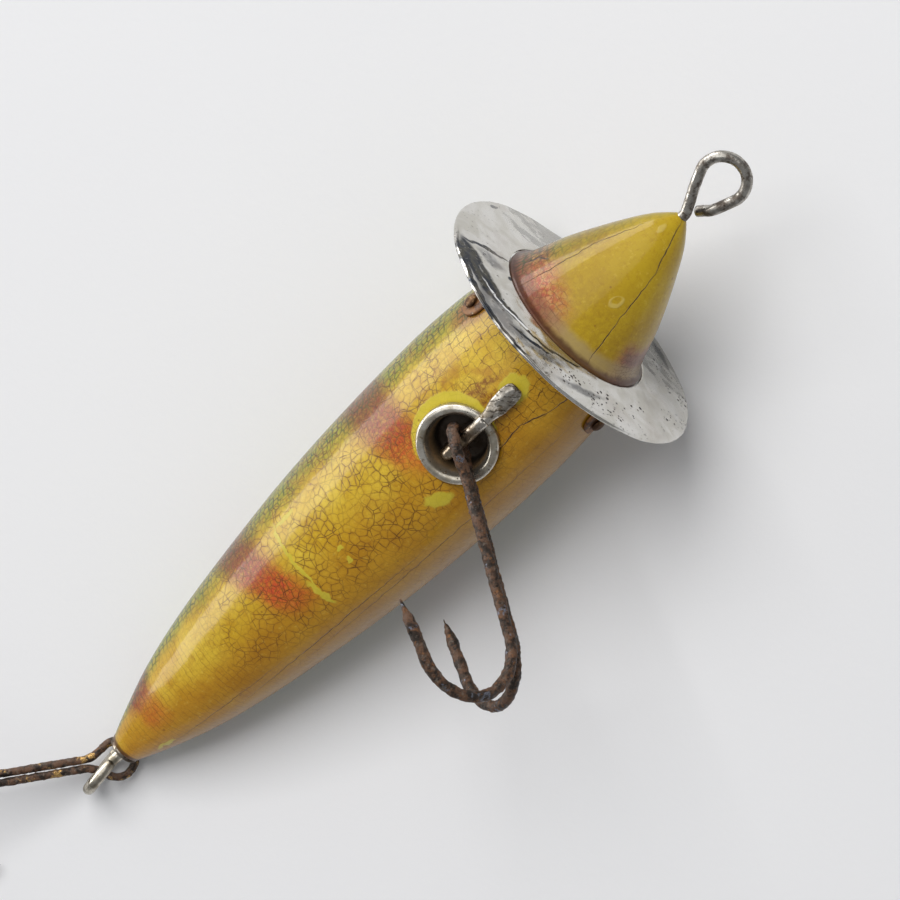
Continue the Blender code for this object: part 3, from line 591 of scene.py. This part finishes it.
def collar_nickel():
    """Plated ring with painted reflections, highlights and a shadow line streaked over it, pitted
    through to dark spots; its tabs are painted over.
    """
    look = Look("collar_nickel")
    around = look.angle.math("RADIANS") * COLLAR_MIDDLE_RADIUS
    sheet = look.node("ShaderNodeCombineXYZ", {0: around.swing(1.6, 1.4),
                                               1: look.radius.swing(1.6, 1.1, 5.0)})
    cloud = look.noise(2.6, 4.0, 0.6, distortion=0.6)
    colour = look.mix(cloud.ramp(0.35, 0.65), (198, 195, 186), (218, 216, 211))

    # painted reflection: grey streaks
    grey = (look.patch(sheet, 6.0, 14.4, 4.4, 1.2, 12.0, soft=0.25)
            | look.patches(sheet, 0.4, GREY_REFLECTION_STREAKS))
    grey *= look.noise(1.2, 4.0, 0.6, shift=15.0).ramp(0.3, 0.55, 0.4, 1.0)
    # painted reflection of dark surroundings in the dark band and streaks, and a painted shadow
    # line along the hole
    dark = (look.patch(sheet, 12.2, 14.2, 4.8, 1.5, 12.0, soft=0.15)
            | look.patches(sheet, 0.2, DARK_REFLECTION_STREAKS))
    dark *= look.noise(0.8, 5.0, 0.7, distortion=1.0, shift=1.0).ramp(0.3, 0.45, 0.6, 1.0)
    dark_reflection_tint = look.mix(look.noise(1.1, 4.0, 0.6, shift=19.0).ramp(0.42, 0.6), (34, 40, 50),
                       (70, 68, 60))
    colour = colour.painted(grey * 0.8, (112, 112, 112)).painted(dark * 0.97, dark_reflection_tint)
    # painted highlights: bright streaks
    colour = colour.painted(look.patches(sheet, 0.4, BRIGHT_HIGHLIGHT_STREAKS), (245, 245, 243))

    worn = look.noise(3.5, 4.0, shift=8.0).ramp(0.45, 0.7)
    colour = colour.painted(worn * 0.3, (170, 160, 150))
    pits = ((look.pits(0.45, 0.12, 0.12) | look.pits(0.8, 0.2, 0.2, 5.0))
            * look.noise(2.2, 3.0, shift=2.0).ramp(0.46, 0.56)
            * look.angle.ramp(100.0, 50.0, 0.15, 1.0))
    pits |= look.pits(0.6, 0.2, 0.18, 9.0) * look.patch(sheet, -7.4, 11.6, 5.4, 0.9, -14.0)
    colour = colour.painted(pits * 0.92, (46, 42, 40))

    tabs = look.station.swing(0.8, 0.4).ramp(16.95, 17.25)
    tab_paint = look.mix(look.noise(0.9, 4.0, 0.65).ramp(0.4, 0.62), (124, 82, 40), (64, 40, 24))
    scratched = tabs * look.noise(0.6, 3.0, shift=3.0).ramp(0.66, 0.7)
    colour = colour.painted(tabs, tab_paint).painted(scratched * 0.8, (214, 200, 176))
    metal = ~(pits * 0.8) * ~(tabs * 0.9 * ~scratched)
    rough = cloud.ramp(0.3, 0.7, 0.1, 0.22) + (pits | tabs) * 0.4
    height = (look.radius * ~tabs * -0.2 + look.noise(4.5, shift=6.0) * 0.4
              + look.noise(1.2, shift=3.0) * 0.025 + pits * -0.03)
    return look.finish(height, Base_Color=colour, Metallic=metal, Roughness=rough)


def plain_nickel(name, bright, dull, stain, stain_share):
    """Old plated metal: bright, with duller patches, brown stain, pits and fine scratches."""
    look = Look(name)
    cloud = look.noise(1.4, 4.0, 0.6)
    blotch = look.noise(0.98, 4.0, 0.65, shift=5.0).ramp(0.62 - stain_share * 0.4,
                                                         0.74 - stain_share * 0.3)
    pits = look.pits(0.5, 0.1, 0.12)
    colour = look.mix(cloud.ramp(0.35, 0.65), bright, dull).painted(blotch * 0.85, stain)
    colour = colour.painted(pits * 0.7, (48, 40, 34))
    scratches = look.noise(0.22, stretch=(6, 1, 1), shift=2.0)
    rough = cloud.ramp(0.3, 0.7, 0.18, 0.42) + blotch * 0.25
    height = look.noise(1.1) * 0.02 + scratches * 0.004 + pits * -0.02 + blotch * 0.008
    return look, colour, rough, height


def wire_nickel(name, bright, dull, stain, stain_share):
    look, colour, rough, height = plain_nickel(name, bright, dull, stain, stain_share)
    return look.finish(height, Base_Color=colour, Metallic=1.0, Roughness=rough)


def cup_nickel():
    """The cup's rim is bright and its inside is stained brown, with painted shade darkening it
    down to the floor.
    """
    look, colour, rough, height = plain_nickel("cup_nickel", (206, 201, 190), (160, 152, 136),
                                               (104, 82, 58), 0.1)
    from_axis = ((look.x + CUP_STATION).math("POWER", 2.0)
                 + look.y.math("POWER", 2.0)).math("SQRT")
    inside = look.z.ramp(10.35, 9.3) * from_axis.ramp(3.7, 3.45)
    # brown stain inside the cup, with painted shade darkening it towards the floor
    brown = look.mix(look.z.ramp(9.4, 7.6), (186, 152, 108), (48, 35, 26))
    return look.finish(height, Base_Color=colour.painted(inside * 0.9, brown), Metallic=0.9,
                       Roughness=rough + inside * 0.35)


def hanger_nickel():
    """Facets and gouges where the foot was hammered, brassy brown on the run inside the cup."""
    look, colour, rough, height = plain_nickel("hanger_nickel", (196, 190, 180), (132, 124, 112),
                                               (84, 70, 52), 0.3)
    brassy = look.station.swing(1.0, 1.0).ramp(27.2, 29.2)
    foot = look.station.ramp(26.5, 25.0)
    facets = look.noise(1.5, 0.0, stretch=(1.0, 0.6, 1.0), shift=6.0)
    gouges = ((look.x + look.y).swing(0.8, 0.9, 4.0).lines(0.7, 0.11) * foot
              * look.noise(0.7).ramp(0.4, 0.5))
    colour = colour.painted(brassy * 0.7, (122, 100, 72)).painted(gouges * 0.8, (52, 46, 42))
    return look.finish(height + facets * foot * 0.18, Base_Color=colour, Metallic=1.0,
                       Roughness=rough)


def rust(name, bare, bare_share, orange):
    """Rusted wire: dark glossy scale with brown and orange bloom, and metal where it is rubbed."""
    look = Look(name)
    bloom = look.noise(1.1, 5.0, 0.7).ramp(0.42, 0.58)
    grey = look.noise(0.6, 5.0, 0.75, shift=4.0).ramp(0.54, 0.64, 0.0, 0.7)
    rusty = look.noise(0.9, 5.0, 0.75, shift=9.0).ramp(0.56, 0.66) * orange
    rubbed = look.noise(1.5, 4.0, 0.7, shift=14.0).ramp(0.66 - bare_share * 0.3,
                                                        0.72 - bare_share * 0.3)
    grains = look.pits(0.26, 0.09, 0.09)
    colour = look.mix(bloom, (45, 37, 31), (92, 64, 44))
    for mask, paint in ((grey, (104, 93, 83)), (rusty, (134, 90, 54)), (rubbed * 0.85, bare),
                        (grains * 0.55, (24, 17, 15))):
        colour = colour.painted(mask, paint)
    height = look.noise(0.35, 5.0, 0.7) * 0.12 + grains * -0.04 + bloom * 0.03
    metal = rubbed * 0.85 | ~bloom * 0.55
    rough = metal.ramp(0.0, 0.85, 0.7, 0.27) + rusty * 0.2
    return look.finish(height, Base_Color=colour, Metallic=metal, Roughness=rough)


def table_paper():
    """The pale table top, with faint specks."""
    look = Look("table_paper")
    colour = look.mix(look.noise(60.0, 3.0), (232, 232, 234), (236, 236, 237))
    colour = colour.painted(look.pits(14.0, 0.25, 0.45) * 0.18, (150, 146, 140))
    return look.finish(look.noise(0.8, 3.0) * 0.02, Base_Color=colour, Roughness=0.8,
                       Specular_IOR_Level=0.0)


# ---- wood
# (station, radius) of the turned outline
HEAD_KNOTS = [(0.35, 0.75), (1.0, 1.35), (2.5, 2.52), (5.0, 3.93), (8.0, 5.44), (11.0, 6.78),
              (14.0, 7.85), (15.2, 8.35)]
BODY_KNOTS = [(16.6, 9.1), (20.0, 9.35), (25.0, 9.82), (31.0, 10.05), (38.0, 9.95), (45.0, 9.65),
              (53.0, 9.05), (61.0, 8.15), (68.0, 7.2), (74.0, 6.2), (79.5, 4.95), (84.0, 3.55),
              (87.0, 2.5), (88.3, 2.0)]
WOOD_OUTLINE = ([(0.02, 0.12), (0.1, 0.42)] + smooth_outline(HEAD_KNOTS, 0.25)
                + [(15.45, 8.5), (15.65, 8.68), (15.8, 8.9), (15.92, 9.1), (16.25, 9.1)]
                + smooth_outline(BODY_KNOTS, 0.33)
                + [(88.55, 1.95), (88.66, 1.9), (88.7, 1.8), (88.7, 1.2), (88.7, 0.1)])


def wood_radius(station):
    stations, radii = zip(*WOOD_OUTLINE)
    return float(np.interp(station, stations, radii))


def make_wood(look):
    """The turned body, a little uneven under its paint, with a pocket under the belly cup."""
    pocket_floor, pocket_radius, seat_radius = 6.2, 3.5, 4.2
    rings = []
    for station, radius in WOOD_OUTLINE:
        ring = []
        for a in circle(192):
            out = Vector((0.0, math.sin(a), math.cos(a)))
            place = Vector((-station, 0.0, 0.0)) + out * radius
            place += out * 0.035 * noise.noise(place / 6.0) * min(1.0, radius / 3.0)
            from_cup = math.hypot(place.x + CUP_STATION, place.y)
            if from_cup < seat_radius and place.z > 0:
                share = max(0.0, (from_cup - pocket_radius) / (seat_radius - pocket_radius))
                place.z = pocket_floor + (place.z - pocket_floor) * share
            ring.append(tuple(place))
        rings.append(ring)
    wood = skin("turned_wood", rings, look)
    stand_for(wood, "wood_body")


# ---- collar and pins
def make_collar(look):
    """The thin ring, gently out of true as worn ones are, with three tabs bent along the wood."""
    steps, edge = 26, COLLAR_THICKNESS / 2
    flat_radius = COLLAR_RIM_RADIUS - edge
    front = [(COLLAR_HOLE_RADIUS + (flat_radius - COLLAR_HOLE_RADIUS) * i / steps, -edge)
             for i in range(steps + 1)]
    round_edge = arc((flat_radius, 0.0), (edge, edge), -75.0, 75.0, 6)
    section = front + round_edge + [(radius, edge) for radius, _ in reversed(front)]
    rings = []
    for radius, offset in section:
        share = (radius - COLLAR_HOLE_RADIUS) / (COLLAR_RIM_RADIUS - COLLAR_HOLE_RADIUS)
        middle = COLLAR_STATION + edge + COLLAR_FLARE * share
        ring = []
        for a in circle(256):
            wave = 0.09 * math.sin(2 * a + 0.6) + 0.05 * math.sin(5 * a + 1.1)
            y, z = radius * math.sin(a), radius * math.cos(a)
            wave += 0.1 * noise.noise(Vector((y, z, 3.0)) / 4.0)
            ring.append((-(middle + offset + wave * share), y, z))
        rings.append(ring)
    pieces = [skin("collar_ring", rings, look, loop=True)]
    for number, angle in enumerate(PIN_ANGLES, start=1):
        pieces.append(skin(f"collar_tab_{number}", tab_rings(angle), look))
    collar = join("ring_collar", pieces)
    stand_for(collar, "collar")


def tab_rings(angle):
    """Cross-sections of one tab, from the ring back to its rounded end."""
    start, thickness, steps, half_steps = COLLAR_STATION + 0.15, 0.36, 40, 6
    rings = []
    for i in range(steps + 1):
        station = start + (TAB_END_STATION - start) * i / steps
        past = max(0.0, station - (TAB_END_STATION - TAB_HALF_WIDTH)) / TAB_HALF_WIDTH
        half_width = max(0.06, TAB_HALF_WIDTH * math.sqrt(max(0.0, 1 - past**2)))
        fillet = 0.5 * max(0.0, 1 - (station - start) / 0.9) ** 2
        top = wood_radius(station) + 0.05 + thickness + fillet
        ring = []
        for height, direction in ((top, 1), (top - thickness, -1)):
            for step in range(-half_steps, half_steps + 1):
                share = direction * step / half_steps
                crown = height - 0.08 * abs(share) ** 6 * direction
                a = math.radians(angle) + half_width * share / height
                ring.append((-station, crown * math.sin(a), crown * math.cos(a)))
        rings.append(ring)
    return rings


def make_pins(look):
    """Domed brads, each a little off round from the hammer."""
    head, tall, shank = 0.8, 0.42, 0.4
    dome = [(head * math.sin(math.radians(a)), PIN_SEAT + tall * math.cos(math.radians(a)))
            for a in (3, 12, 22, 32, 42, 52, 62, 72, 82, 90)]
    profile = dome + [(head - 0.02, PIN_SEAT - 0.06), (shank, PIN_SEAT - 0.1), (shank, 9.0)]
    for number, angle in enumerate(PIN_ANGLES, start=1):
        rings = roughen(lathe(profile, 32), [(0.06, 0.6), (0.03, 0.25)])
        pin = skin(f"brad_{number}", rings, look, radial(angle, PIN_STATION, 0.0))
        stand_for(pin, f"collar_pin_{number}")


# ---- cup and hanger
def make_cup(look):
    """The pressed cup with its rolled rim; its skirt meets the round wood on both sides."""
    bead = arc((3.86, CUP_RIM - 0.42), (0.5, 0.42), 165.0, 0.0, 18)
    profile = [(0.02, CUP_FLOOR), (1.2, CUP_FLOOR), (2.4, CUP_FLOOR), (2.6, CUP_FLOOR + 0.06),
               (2.72, CUP_FLOOR + 0.3), (2.85, 8.2), (3.0, 9.2), (3.16, 9.9)]
    profile += bead + [(CUP_RADIUS, 9.7), (CUP_RADIUS - 0.03, 9.3), (4.25, 8.9), (3.7, 8.8),
                       (3.0, 6.6), (0.02, 6.5)]
    rings = roughen(lathe(profile, 112), [(0.035, 1.6)])
    cup = skin("pressed_cup", rings, look, radial(0.0, CUP_STATION, 0.0))
    stand_for(cup, "hook_cup")


def hanger_slope():
    return math.atan2(HANGER_RIM_HEIGHT - HANGER_CORNER_HEIGHT,
                      HANGER_LEG_STATION - HANGER_RIM_STATION)


def make_hanger(look):
    """One wire: a leg, a bend, a run out over the cup's rim and a foot hammered flat."""
    wire, leg, bend = HANGER_WIRE, -HANGER_LEG_STATION, HANGER_BEND_RADIUS
    turn = math.pi / 2 - hanger_slope()
    reach = bend * math.tan(turn / 2)
    sections = [(leg, 0.0, 5.0, wire, wire), (leg, 0.0, 7.5, wire, wire)]
    for i in range(6):
        swept = turn * i / 5
        sections.append((leg + bend - bend * math.cos(swept), 0.0,
                         HANGER_CORNER_HEIGHT - reach + bend * math.sin(swept), wire, wire))
    sections += [(-HANGER_RIM_STATION, 0.0, HANGER_RIM_HEIGHT, wire, wire),
                 (-26.6, 0.0, 11.4, wire, wire), (-26.0, 0.0, 11.2, 0.74, 0.64),
                 (-25.4, 0.0, 10.85, 0.88, 0.55), (-24.7, 0.0, 10.6, 1.03, 0.47),
                 (-23.8, 0.0, 10.5, 1.08, 0.43), (-22.9, 0.0, 10.42, 1.06, 0.42),
                 (-22.3, 0.0, 10.32, 0.92, 0.38), (-21.98, 0.0, 10.18, 0.6, 0.24)]
    path = smooth_path(sections, 0.16)
    rings = []
    for i, (x, y, z, half_width, half_thick) in enumerate(path):
        before, after = path[max(i - 1, 0)], path[min(i + 1, len(path) - 1)]
        along = Vector((after[0] - before[0], 0.0, after[2] - before[2])).normalized()
        across = Vector((0.0, 1.0, 0.0))
        up = along.cross(across)
        flat = max(0.0, half_width - half_thick)
        rings.append([tuple(Vector((x, y, z)) + across * half_width * squared(math.cos(a), flat)
                            + up * half_thick * squared(math.sin(a), flat)) for a in circle(32)])
    hanger = skin("wire_hanger", roughen(rings, [(0.05, 0.9), (0.025, 0.35)]), look)
    stand_for(hanger, "hook_hanger")


def squared(value, amount):
    """A cosine or sine pushed towards a rounded square, the more the flatter the section is."""
    return math.copysign(abs(value) ** (1 - 0.35 * min(1.0, amount)), value)


# ---- nose and tail hardware
def make_line_tie(look):
    centre, loop = LINE_TIE_CENTRE, LINE_TIE_LOOP
    lean = math.degrees(math.asin(loop / (centre.x - 0.4)))
    around = arc((centre.x, centre.y), (loop, loop), 90.0 + lean, -78.0 - lean, 16)
    knots = [(-1.6, 0, 0), (-0.6, 0, 0), (0.2, 0.0, 0), (0.75, 0.2, 0), (1.6, 0.62, 0),
             (2.9, 1.3, 0)]
    knots += [(u, v, 0) for u, v in around]
    knots += [(2.6, -1.72, -0.25), (1.75, -1.25, -0.75), (1.0, -0.8, -1.15)]
    path = smooth_path(knots, 0.22)
    rings = roughen(sweep(path, [LINE_TIE_WIRE] * len(path), 28), [(0.02, 0.8), (0.012, 0.3)])
    stand_for(skin("nose_eye", rings, look), "line_tie")


def make_washer(look):
    top, edge = -WOOD_LENGTH - 0.02, 0.14
    bottom, bore = top - WASHER_THICKNESS, TAIL_EYE_WIRE + 0.03
    profile = [(bore, top), (WASHER_RADIUS - edge, top), (WASHER_RADIUS - 0.04, top - 0.04),
               (WASHER_RADIUS, top - edge), (WASHER_RADIUS, bottom + edge),
               (WASHER_RADIUS - 0.04, bottom + 0.04), (WASHER_RADIUS - edge, bottom),
               (1.2, bottom - 0.03), (bore, bottom)]
    axis = Matrix.Rotation(math.pi / 2, 4, "Y")
    rings = roughen(lathe(profile, 64), [(0.04, 1.0)])
    stand_for(skin("end_washer", rings, look, axis, loop=True), "tail_washer")


def make_tail_eye(look):
    yaw = math.radians(TAIL_EYE_YAW)
    shank_end = -WOOD_LENGTH - WASHER_THICKNESS - 0.15
    knots = [(-86.0, 0, 0), (-88.0, 0, 0), (shank_end, 0, 0)]
    for u, v in arc((0.0, 0.0), (TAIL_EYE_RADIUS, TAIL_EYE_RADIUS), 22.0, 330.0, 22):
        knots.append((-TAIL_EYE_STATION + u * math.cos(yaw), u * math.sin(yaw) * 0.6 - 0.1, v))
    path = smooth_path(knots, 0.22)
    rings = roughen(sweep(path, [TAIL_EYE_WIRE] * len(path), 28), [(0.025, 0.9)])
    stand_for(skin("tail_eye", rings, look), "tail_screw_eye")


# ---- hooks
def frame_from(x_axis, y_axis, origin=(0, 0, 0)):
    """A frame with this X axis, whose Y axis is as near as can be to y_axis."""
    x_axis = Vector(x_axis).normalized()
    y_axis = (Vector(y_axis) - x_axis * x_axis.dot(Vector(y_axis))).normalized()
    z_axis = x_axis.cross(y_axis)
    turned = Matrix((x_axis, y_axis, z_axis)).transposed().to_4x4()
    return Matrix.Translation(Vector(origin) * MM) @ turned


def hook_leg(wire, eye, eye_end, shank, bend, spread, point, slant):
    """Centre line with the wire's share of its radius, down one leg and round to its point.

    X runs down the shank from the pivot, Y separates the legs, and the points turn up towards +Z.
    """
    offset = wire + 0.05
    centre = eye - eye_end
    knots = [(u, v, 0.0, 1.0) for u, v in arc((centre, 0), (eye, eye), 180.0, 52.0, 10)]
    start, turn = Vector(knots[-1][:3]), math.radians(52.0)
    leaving = Vector((math.sin(turn), -math.cos(turn), 0))
    close = Vector((centre + 1.9 * eye, offset, 0))
    pulls = (start, start + leaving * eye * 0.55, close - Vector((eye * 0.55, 0, 0)), close)
    for i in range(1, 7):
        t = i / 6
        weights = ((1 - t)**3, 3 * t * (1 - t)**2, 3 * t**2 * (1 - t), t**3)
        knots.append((*sum((pull * w for pull, w in zip(pulls, weights)), Vector()), 1.0))
    out = Vector((0, math.sin(math.radians(spread)), math.cos(math.radians(spread))))
    foot = Vector((shank, offset, 0))
    for i in range(1, 6):
        knots.append((*close.lerp(foot, i / 6), 1.0))
    for angle in range(0, 181, 12):
        swept = math.radians(angle)
        knots.append((*(foot + Vector((bend * math.sin(swept), 0, 0))
                        + out * bend * (1 - math.cos(swept))), 1.0))
    tip = Vector(knots[-1][:3])
    aim = Vector((-math.cos(math.radians(slant)), 0, 0)) + out * math.sin(math.radians(slant))
    for share, taper in ((0.3, 1.0), (0.5, 1.04), (0.62, 0.9), (0.8, 0.52), (0.92, 0.25),
                         (1.0, 0.08)):
        knots.append((*(tip + aim * point * share), taper))
    return knots, out, aim


def make_hook(name, look, matrix, body, wire, point, **shape):
    """A double hook bent from one wire, eaten by rust, with a barb cut up behind each point."""
    knots, out, aim = hook_leg(wire=wire, point=point, **shape)
    mirrored = [(x, -y, z, share) for x, y, z, share in reversed(knots[1:])]
    path = smooth_path(mirrored + knots, 0.2)
    rings = sweep(path[:, :3], path[:, 3] * wire, 20)
    rust_layers = [(0.13 * wire, 1.2), (0.16 * wire, 0.42), (0.08 * wire, 0.18)]
    pieces = [skin(f"{name}_wire", roughen(rings, rust_layers), look, matrix)]
    for side in (1.0, -1.0):
        outward = Vector((0, out.y * side, out.z))
        back = -Vector((aim.x, aim.y * side, aim.z)).normalized()
        root = Vector(knots[-4][:3])
        root.y *= side
        barb_aim = (back + outward * 0.42).normalized()
        start = root - barb_aim * 0.25
        barb_path = [tuple(start + barb_aim * 2.0 * i / 10) for i in range(11)]
        radii = [wire * (0.62 - 0.052 * i) for i in range(11)]
        pieces.append(skin(f"{name}_barb", roughen(sweep(barb_path, radii, 14), rust_layers), look,
                           matrix))
    stand_for(join(name, pieces), body, body)


def make_belly_hook(look):
    """Hangs on the hanger's run inside the cup and leans on the cup's rim, over the -Y side."""
    slope = hanger_slope()
    pivot = Vector((-PIVOT_STATION, 0, HANGER_CORNER_HEIGHT
                    + (HANGER_LEG_STATION - PIVOT_STATION) * math.tan(slope)))
    rise, lean, twist = math.radians(28.5), math.radians(20.7), math.radians(-9.5)
    shank = Vector((-math.sin(lean), -math.cos(lean) * math.cos(rise),
                    math.cos(lean) * math.sin(rise)))
    matrix = frame_from(shank, (0, 0, 1), pivot) @ Matrix.Rotation(twist, 4, "X")
    make_hook("double_hook_belly", look, matrix, "belly_hook", wire=0.6, point=5.4, eye=2.0,
              eye_end=1.65, shank=20.6, bend=5.6, spread=49.0, slant=11.0)


def make_tail_hook(look):
    """Linked through the tail eye and pushed up under the tail, its two points on the table."""
    pitch, yaw = math.radians(30.0), math.radians(37.0)
    down_nose = Vector((math.cos(pitch), 0, -math.sin(pitch)))
    normal = Vector((math.sin(pitch), 0, math.cos(pitch)))
    centre = Vector((-TAIL_EYE_STATION - 0.3, -0.35, -0.85)) + down_nose * 2.0
    shank = -down_nose * math.cos(yaw) + Vector((0, 1, 0)) * math.sin(yaw)
    matrix = frame_from(shank, shank.cross(normal), centre)
    make_hook("double_hook_tail", look, matrix, "tail_hook", wire=0.45, point=4.8, eye=2.0,
              eye_end=2.0, shank=19.0, bend=5.4, spread=54.0, slant=9.0)


# ---- table, light and camera
FIELD_OF_VIEW = 12.02
AIM = Vector((13.78, 2.63, 0.0)) * MM
CAMERA_DISTANCE = 0.4601
CAMERA_AZIMUTH = -17.17           # from world +X, seen from above
CAMERA_ELEVATION = 75.87
CAMERA_ROLL = 115.18              # of the picture's top, from the upright


def direction(azimuth, elevation):
    a, e = math.radians(azimuth), math.radians(elevation)
    return Vector((math.cos(a) * math.cos(e), math.sin(a) * math.cos(e), math.sin(e)))


def make_table(look):
    shape = bmesh.new()
    bmesh.ops.create_grid(shape, x_segments=2, y_segments=2, size=1.6)
    table = add_shape("table_top", shape, look)
    table.location.z = -0.00005


def area_light(name, azimuth, elevation, distance, size, power, colour, aim=(0, 0, 0)):
    light = bpy.data.lights.new(name, "AREA")
    light.shape = "RECTANGLE"
    light.size, light.size_y = size
    light.energy = power
    light.color = colour
    lamp = add_object(name, light)
    lamp.location = Vector(aim) + direction(azimuth, elevation) * distance
    lamp.rotation_euler = (-direction(azimuth, elevation)).to_track_quat("-Z", "Y").to_euler()
    return lamp


def make_light():
    """A key light over the +Y side, a low window behind it and a dim room all round.

    The softbox and the card are only what the metal and the varnish mirror.
    """
    world = bpy.data.worlds.new("dim_room")
    world.use_nodes = True
    sky = world.node_tree.nodes["Background"]
    sky.inputs["Color"].default_value = (0.95, 0.97, 1.0, 1.0)
    sky.inputs["Strength"].default_value = 0.31
    bpy.context.scene.world = world
    key = area_light("key", 61.0, 60.0, 1.0, (0.66, 0.66), 8.3, (1.0, 0.995, 0.985))
    key.visible_glossy = False
    overhead = area_light("softbox", 72.0, 60.0, 1.0, (1.3, 1.3), 6.5, (1.0, 1.0, 1.0))
    overhead.visible_diffuse = False
    area_light("window", 112.0, 26.0, 0.9, (1.0, 0.36), 0.7, (1.0, 1.0, 1.0))
    card = area_light("window_card", 93.0, 19.0, 0.086, (0.24, 0.05), 0.17, (1.0, 1.0, 1.0),
                      aim=(-0.012, 0.0, 0.004))
    card.visible_diffuse = False
    card.visible_camera = False


def make_camera():
    data = bpy.data.cameras.new("camera")
    data.lens_unit = "FOV"
    data.angle = math.radians(FIELD_OF_VIEW)
    data.clip_start, data.clip_end = 0.01, 10.0
    camera = add_object("camera", data)
    back = direction(CAMERA_AZIMUTH, CAMERA_ELEVATION)
    upright = (Vector((0, 0, 1)) - back * back.z).normalized()
    level = upright.cross(back)
    roll = math.radians(CAMERA_ROLL)
    up = upright * math.cos(roll) + level * math.sin(roll)
    right = up.cross(back)
    camera.matrix_world = (Matrix.Translation(AIM + back * CAMERA_DISTANCE)
                           @ Matrix((right, up, back)).transposed().to_4x4())
    bpy.context.scene.camera = camera


make_camera()
make_light()
make_table(table_paper())
make_wood(lacquer())
make_collar(collar_nickel())
make_pins(wire_nickel("dull_brass", (150, 118, 84), (104, 78, 56), (62, 44, 34), 0.5))
make_cup(cup_nickel())
make_hanger(hanger_nickel())
make_line_tie(wire_nickel("line_tie_nickel", (188, 184, 176), (128, 122, 114), (84, 74, 66), 0.35))
make_washer(wire_nickel("washer_nickel", (170, 160, 146), (110, 98, 86), (66, 52, 42), 0.5))
make_tail_eye(wire_nickel("tail_eye_nickel", (196, 190, 176), (134, 126, 110), (120, 102, 80),
                          0.1))
make_belly_hook(rust("belly_hook_rust", (120, 124, 136), 0.16, 0.7))
make_tail_hook(rust("tail_hook_rust", (186, 150, 92), 0.35, 0.5))

bpy.context.scene.view_settings.view_transform = "Standard"
